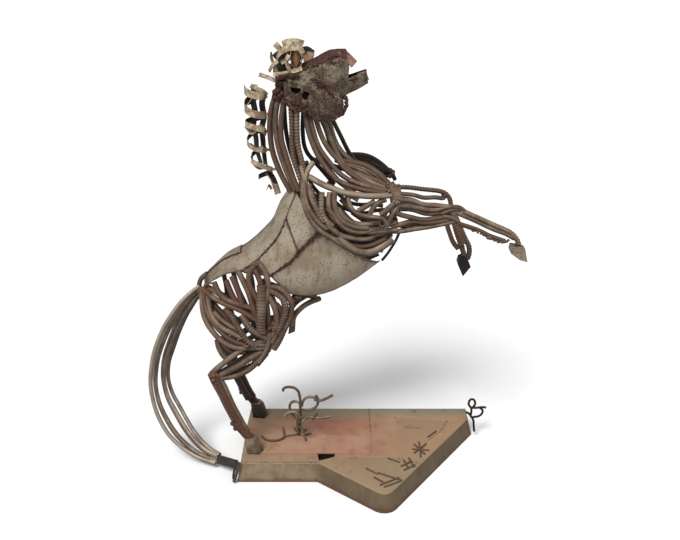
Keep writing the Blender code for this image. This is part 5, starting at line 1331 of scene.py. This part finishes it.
# Wide strips painted dark all over, as painted shade in the forelock's gaps.
FORELOCK_DARK = [
    ([(276, 60, 1.5), (281, 56, 2), (288, 54, 2.2), (295, 54, 2)], 0.0330),
    ([(273, 68, 1.4), (279, 68, 1.6), (287, 68, 1.4), (294, 69, 1)], 0.0260),
    ([(302, 51, 1.6), (307, 50, 1.8), (313, 54, 1.8)], 0.0200),
]
forelock = [ribbon(points, width, wide_way=(0.1, 0.35, 1), place=seen) for points, width in FORELOCK]
for points, width in FORELOCK_DARK:
    strip = ribbon(points, width, wide_way=(0, 0.35, 1), place=seen)
    mark(strip, hollow=0.9)
    forelock.append(strip)
flap = ribbon([(303, 57, 1.2), (308, 56.5, 1.2), (313.5, 58, 1.2)], 0.0260, wide_way=(0, 0.35, 1), place=seen)
mark(flap, hollow=0.0, rust=0.62)
forelock.append(flap)
piece("forelock", forelock, mane_finish, "mane_strip", "forelock")

# %% Mane
MANE_AXIS = [(-23.2, 0, 109), (-23.3, 0, 103), (-23.3, 0, 97), (-22.9, 0, 90.5), (-20.7, 0, 83.8)]
MANE_RADIUS = [(2.9,), (2.9,), (2.7,), (2.5,), (2.3,)]
MANE_TURNS = 5
STEPS_A_TURN = 24


def coil(start, end, width, wide_way=(0, 0, 1), tilt=0.0):
    """A stretch of the rolled strip, from turn start to turn end."""
    points = []
    for i in range(round((end - start) * STEPS_A_TURN) + 1):
        turns = start + i / STEPS_A_TURN
        x, y, h = along(MANE_AXIS, min(turns / MANE_TURNS, 1.0))
        radius = along(MANE_RADIUS, min(turns / MANE_TURNS, 1.0))[0]
        angle = -2 * math.pi * turns
        points.append((x - radius * math.cos(angle), y + radius * math.sin(angle),
                       h + tilt * math.sin(angle)))
    strip = ribbon(points, width, wide_way=wide_way, steps=len(points) - 1)
    axis = at(-23, 0, 100)
    strip.data.update()
    # Painted shade: faces that look towards the coil's axis are marked to be painted dark.
    hollow = []
    for vertex in strip.data.vertices:
        inside = Vector((axis.x - vertex.co.x, axis.y - vertex.co.y, 0)).dot(vertex.normal)
        hollow.append(1.0 if inside > 0 else 0.0)
    strip.data.attributes["hollow"].data.foreach_set("value", hollow)
    return strip


mane = [coil(0.0, 1.6, 0.020, tilt=0.5), coil(1.6, 2.7, 0.016, tilt=-0.5), coil(2.7, 3.9, 0.012, tilt=0.6),
        coil(3.9, 5.0, 0.014, tilt=-0.4)]
MANE_CURLS = [
    ([(-22.4, -1, 108.6), (-23.6, -1.6, 106.8), (-24.8, -1.4, 105), (-26.2, -1.6, 104.6)], 0.020),
    ([(-24.4, 0, 109.8), (-23.2, 0, 109), (-21.4, 0, 108.2), (-20, 0, 107)], 0.016),
    ([(-26, 0.6, 98.4), (-24.2, -1.4, 97), (-22, -1, 98.6), (-20.6, 0, 96.4)], 0.014),
    ([(-25.4, 0.4, 93.4), (-23.4, -1.2, 92.2), (-21.4, -0.8, 92.8)], 0.014),
    ([(-24.6, 0, 88.4), (-22.6, -1.4, 87), (-20.6, -0.8, 87.6)], 0.014),
    ([(-20.2, 0.8, 85), (-19, -0.6, 83.6), (-18.1, -1.8, 81.6), (-17.5, -2.2, 79.6)], 0.021),
    ([(-20.8, 0, 80.4), (-20.2, -0.6, 81.6), (-19.4, -1, 80.6)], 0.008),
]
mane += [ribbon(points, width, wide_way=(0.3, 1, 0.3), turn=0.5, hollow_to=(-18, 6, 97))
         for points, width in MANE_CURLS]
# Strips painted dark all over, as painted shade inside the mane.
INNER_STRIPS = [
    [(254, 90, 1.5), (253, 100, 1.5), (255, 112, 1.6), (253.5, 125, 1.6), (256, 138, 1.6), (257, 150, 1.6),
     (261, 163, 1.4)],
    [(264, 92, 1.8), (262, 104, 1.8), (264, 116, 1.8), (262, 128, 1.8), (263, 141, 1.8), (264, 153, 1.6),
     (266, 168, 1.4)],
]
for line in INNER_STRIPS:
    strip = ribbon(line, 0.0170, wide_way=(1, 0, 0), turn=0.9, place=seen)
    mark(strip, hollow=0.9)
    mane.append(strip)
for k in range(5):
    x, y, h = along(MANE_AXIS, (k + 0.5) / 5)
    mane += knot(at(x + 2.9, 0, h), 0.004, 4, size=0.0040)
piece("mane", mane, mane_finish, "mane_strip", "mane_coil")

# %% [markdown]
# ## Hooves and small plates
# The hooves are folded from plate. A copy of the frame's own solid has the right shape already, so
# its loose triangles are merged, its edges softened with a Bevel, and it is finished. The knee and
# stifle plates and the tail's lug are done the same way.

# %% Softened copies
def softened(node, name, finish, slot, width=0.0012, **marks):
    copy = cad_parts[node].copy()
    copy.data = copy.data.copy()
    copy.parent = None
    copy.matrix_world = Matrix.Identity(4)
    bpy.context.collection.objects.link(copy)
    only(copy)
    bpy.ops.object.mode_set(mode="EDIT")
    bpy.ops.mesh.select_all(action="SELECT")
    bpy.ops.mesh.remove_doubles(threshold=0.00002)
    bpy.ops.mesh.dissolve_limited(angle_limit=math.radians(2))
    bpy.ops.object.mode_set(mode="OBJECT")
    apply(copy, "BEVEL", width=width, segments=2, limit_method="ANGLE", angle_limit=math.radians(25))
    mark(copy, **{"tone": 0.0, "rust": 0.0, "edge": 0.25, "hollow": 0.0, **marks})
    return piece(name, [copy], finish, slot, node)


for node in ("hoof_hind_near", "hoof_hind_far", "hoof_fore_near"):
    softened(node, node.replace("_", " ") + " plate", hoof_finish, "hoof")
# The far fore hoof is near-black, as painted shade.
softened("hoof_fore_far", "hoof fore far plate", far_hoof_shade_finish, "dark_hoof")
for side in ("near", "far"):
    softened("knee_plate_" + side, "knee plate " + side, rusty_finish, "copper_plate", rust=0.6, tone=0.4)
    softened("stifle_plate_" + side, "stifle plate " + side, rusty_finish, "rusty_bar", width=0.0006,
             rust=0.5)
softened("tail_lug", "tail lug plate", black_and_shade_finish, "dark_bar", width=0.0006)

# %% [markdown]
# ## Scrolls
# Beside the hooves a tangle of thin bent rod springs from the plinth, half plant and half
# ornament, and a smaller one hangs over the plinth's far corner. They are plain bars through points
# drawn on the figure.

# %% Scrolls
SCROLLS = [
    [(-17.5, -3, 16.6), (-17.3, -3, 17.4), (-15.4, -3, 17.9), (-13.2, -3, 16.9), (-12.4, -3, 14.6),
     (-12.3, -3, 11.4),
     (-12.4, -2.5, 6), (-12.8, -2, 0.2)],
    [(-11.9, -2.6, 10.8), (-10.9, -2, 13.2), (-8.9, -2, 13.9), (-7, -2, 12.9), (-7.2, -2, 10.8),
     (-9.2, -2, 9.4),
     (-12, -2.4, 9.5)],
    [(-8, -2, 13), (-6.2, -2, 12.6), (-4.4, -2, 13.2), (-2.2, -2, 14.5)],
    [(-7.4, -2, 14.4), (-6.8, -2, 13), (-6.9, -2, 11.6)],
    [(-12.2, -2.8, 12), (-14.4, -1.6, 12), (-15.6, -1.2, 10.6), (-15.4, -1.2, 8.4), (-14.2, -1.6, 6.4),
     (-12.4, -2.6, 5.2)],
    [(-2.8, -5, 8.7), (-5.6, -4.8, 8.2), (-8.4, -4.4, 8), (-10.6, -3.6, 7.8), (-12.4, -2.6, 7)],
    [(-7.2, -4.6, 9.8), (-7.8, -4.6, 8.6), (-8.6, -4.4, 7.4)],
    [(-9.6, -4.4, 8.2), (-11.2, -5.4, 7.6), (-11.6, -5.6, 6), (-10.6, -5.4, 4.2), (-11.6, -4, 3.4),
     (-12.6, -2.6, 3.2)],
    [(-17.4, -3, 7.4), (-16.5, -3, 8.6), (-14.3, -3, 9.1), (-12.9, -2.8, 7.8), (-12.6, -2.6, 6)],
    [(-24.6, -3, 0.5), (-23.4, -4.8, 0.5), (-21, -5.8, 0.5), (-18.6, -5, 0.5), (-17.4, -3, 0.5),
     (-17.9, -0.6, 0.5),
     (-18.2, 1.6, 0.5)],
    [(-17.4, -3, 0.5), (-15, -2.4, 0.6), (-12.8, -2, 0.7), (-11.2, -3.4, 0.5), (-10.6, -5.6, 0.5)],
    [(-11.4, -3, 0.6), (-10.2, -1.8, 0.5), (-9.2, -1.2, 0.5)],
    [(-12.8, -2, 0.6), (-14, 0.2, 0.5), (-14.6, 1.6, 0.5)],
    [(-12.9, -2.2, 8.6), (-13.4, -2.6, 5), (-13.2, -2.6, 1)],
]
scrolls = [plain_bar([at(*point) for point in line], thickness=0.0085 if i < 9 else 0.0065,
                     tone=0.3 if i % 3 else -0.4)
           for i, line in enumerate(SCROLLS)]
scrolls += knot(at(-12.5, -2.5, 9.4), 0.005, 6, size=0.0045) + knot(at(-12.8, -2.4, 3.6), 0.006, 8,
                                                                    size=0.0045)
piece("scroll rods", scrolls, bar_finish, "bar", "scroll_rods")
CORNER = [
    [(40.7, 7.2, 3), (41.6, 7.2, 2.6), (42.4, 7.2, 1.6), (43.3, 7.2, 0.2), (43.6, 7.2, -2),
     (43.9, 7.2, -4.2)],
    [(42.4, 7.2, 1.6), (42.5, 7.8, 4), (41.6, 8, 5.6), (42.6, 8, 7.3), (43.7, 8, 5.8), (42.9, 8, 4)],
    [(42.6, 8, 4.2), (44, 7.8, 4.2), (45.6, 7.8, 4.4), (47.3, 7.8, 4.3)],
    [(45.2, 7.8, 4.3), (46.2, 7.8, 3.2), (46, 7.8, 1.9), (45, 7.6, 1.2), (43.2, 7.4, 1.1)],
]
corner = [plain_bar([at(*point) for point in line], thickness=0.0075, tone=0.1 * i - 0.2)
          for i, line in enumerate(CORNER)]
piece("corner scroll", corner, black_and_shade_finish, "dark_bar", "corner_scroll")
CORNER_BAR = [[(-30.2, -17.7, 0.5), (-30.9, -18.5, -2.2), (-31.9, -19.3, -5.3)],
              [(-31.4, -17.6, -1), (-32, -18.2, -3), (-32.2, -18.4, -4.9)]]
corner_bar = [plain_bar([at(*point) for point in line], thickness=0.0095 - 0.003 * i)
              for i, line in enumerate(CORNER_BAR)]
corner_bar += knot(at(-30.9, -17.9, -0.9), 0.005, 6, size=0.0045)
piece("plinth corner bar", corner_bar, black_and_shade_finish, "dark_bar", "plinth_corner_bar")

# %% [markdown]
# ## The plinth
# The plinth is a tray of plate turned upside down. Its plates are the frame's own solids, softened
# like the hooves. The finish of the top goes from pink in the middle to tan at the left end and at
# the point, and to olive along the back. The sides are olive brown with dark rust along the foot.

# %% Plinth finishes
def plinth_top_finish():
    f = Finish("plinth top rust", 0.15)
    across = f.split(f.place, "X") - FIGURE.x
    back = f.split(f.place, "Y") - FIGURE.y
    broad, mid, fine = f.noise(7.0, 4.0), f.noise(30.0, 5.0, 0.65), f.noise(170.0, 4.0, 0.6)
    colour = f.blend((broad + mid * 0.5).steps(0.55, 0.95), (0.390, 0.235, 0.155), (0.330, 0.150, 0.095))
    colour = f.blend((across * 4.0 + broad * 0.8).steps(0.60, 1.5), colour, (0.345, 0.220, 0.130))
    colour = f.blend((broad * 0.8 - across * 4.0).steps(0.85, 1.45) * 0.8, colour, (0.310, 0.205, 0.125))
    colour = f.blend((broad * 0.6 - back * 12.0).steps(1.75, 2.3) * 0.85, colour, (0.300, 0.220, 0.135))
    colour = f.blend((back + broad * 0.06).steps(0.095, 0.16), colour, (0.240, 0.205, 0.135))
    colour = f.blend((mid + fine * 0.4).steps(0.78, 0.98), colour, (0.120, 0.070, 0.042))
    colour = f.blend(f.noise(60.0, 5.0, 0.7).steps(0.60, 0.75) * 0.5, colour, (0.460, 0.330, 0.210))
    return f.finish(colour, 0.58 + mid * 0.2, mid * 0.8 + fine * 0.5, 0.0009)


def plinth_side_finish():
    f = Finish("plinth side rust", 0.2)
    height = f.split(f.place, "Z")
    across = f.split(f.place, "X") - FIGURE.x
    streak = f.noise(60.0, 4.0, 0.6, f.stretched(1.0, 1.0, 0.3))
    mid, fine = f.noise(25.0, 4.0), f.noise(260.0, 3.0, 0.6)
    colour = f.blend((mid + streak * 0.5).steps(0.60, 0.95), (0.215, 0.165, 0.105), (0.150, 0.110, 0.070))
    colour = f.blend(fine.steps(0.58, 0.70) * 0.5, colour, (0.330, 0.270, 0.180))
    colour = f.blend((1.0 - height.steps(0.0, 0.026) + mid - 0.5).steps(0.35, 1.0), colour,
                     (0.140, 0.068, 0.036))
    colour = f.blend((across + mid * 0.02).steps(-0.075, -0.045) * 0.62, colour, (0.075, 0.048, 0.027))
    return f.finish(colour, 0.55 + streak * 0.2, mid + fine * 0.3, 0.0008)


top_finish, side_finish = plinth_top_finish(), plinth_side_finish()
for node in ("plinth_top_left", "plinth_top_front", "plinth_top_right"):
    softened(node, node.replace("_", " ") + " plate", top_finish, "plinth_top", width=0.0006)
softened("plinth_side_band", "plinth side plates", side_finish, "plinth_side", width=0.0010)

# %% [markdown]
# ## Marks on the plinth
# Short bars and beads of weld lie on the top near its point, as rows of shallow strokes. A bead runs
# along the front edge and the middle seam, and a few cracks and drips catch the light.

# %% Strokes and beads
def on_top(u, v, lift=0.0):
    """Where the line of sight through a pixel meets the plinth's top."""
    near_place, far_place = seen(u, v, -40), seen(u, v, 20)
    t = (PLINTH_HEIGHT + lift - near_place.z) / (far_place.z - near_place.z)
    return near_place.lerp(far_place, t)


STROKES = [
    [(378, 472.5), (390, 476.5), (402, 480)], [(380, 485), (399, 477.5)], [(384, 487), (402, 480.5)],
    [(374, 477), (383, 482)], [(404, 460), (408, 468)], [(401, 466), (412, 461)], [(404, 470), (415, 465)],
    [(409, 458), (414, 467)], [(414, 444), (425, 454)], [(419, 442), (421, 457)], [(426, 444), (414, 453)],
    [(412, 449), (429, 450)], [(436, 431), (428, 437)], [(388, 458), (400, 462)], [(366, 468), (378, 474)],
]
strokes = []
for line in STROKES:
    strokes.append(plain_bar([on_top(u, v, 0.002) for u, v in line], thickness=0.0050, tone=-0.5, rust=0.3))
piece("strokes on the plinth", strokes, bar_finish, "bar")
beads = bead([at(-29.4, -16.9, 0.05), at(-18, -16.95, 0.05), at(-6.6, -16.9, 0.05)], size=0.0022, step=0.0030)
beads += bead([at(9.6, 14.2, 0.0), at(9.7, 2, 0.0), at(9.6, -11.6, 0.0)], size=0.0016, step=0.0042)
beads += bead([on_top(447, 421), on_top(441, 430), on_top(434, 436), on_top(420, 448)], size=0.0018,
              step=0.0040)
piece("beads on the plinth", beads, hoof_finish, "plinth_top")

# %% [markdown]
# ## Floor and light
# A plain pale floor and a pale sky light the metal evenly. One large soft light from the upper
# left front shapes the bars, a weaker one from the right keeps the shadows open.

# %% Stage
for pattern in (rib_pattern, blob_pattern):
    bpy.data.objects.remove(pattern, do_unlink=True)
deselect()
bpy.ops.mesh.primitive_plane_add(size=60.0, location=(0, 10.0, 0))
floor = bpy.context.object
floor.name = "floor"
f = Finish("pale floor", 0.0, SHEEN)
floor_colour = f.blend(f.noise(3.0, 2.0), (0.90, 0.90, 0.90), (0.93, 0.93, 0.93))
floor.data.materials.append(f.finish(floor_colour, 0.9, f.noise(200.0), 0.0001))


def soft_sun(name, towards, strength, spread):
    bpy.ops.object.light_add(type="SUN", location=(0, -2, 3))
    light = bpy.context.object
    light.name = name
    light.data.energy = strength
    light.data.angle = math.radians(spread)
    light.rotation_euler = Vector(towards).to_track_quat("-Z", "Y").to_euler()


soft_sun("key light", (0.30, 0.52, -0.80), 2.9, 25)
soft_sun("fill light", (-0.75, 0.45, -0.50), 0.35, 60)
world = bpy.context.scene.world or bpy.data.worlds.new("sky")
bpy.context.scene.world = world
world.use_nodes = True
world.node_tree.nodes["Background"].inputs["Color"].default_value = (1.0, 1.0, 1.0, 1.0)
world.node_tree.nodes["Background"].inputs["Strength"].default_value = 0.42
bpy.context.scene.view_settings.view_transform = "Standard"
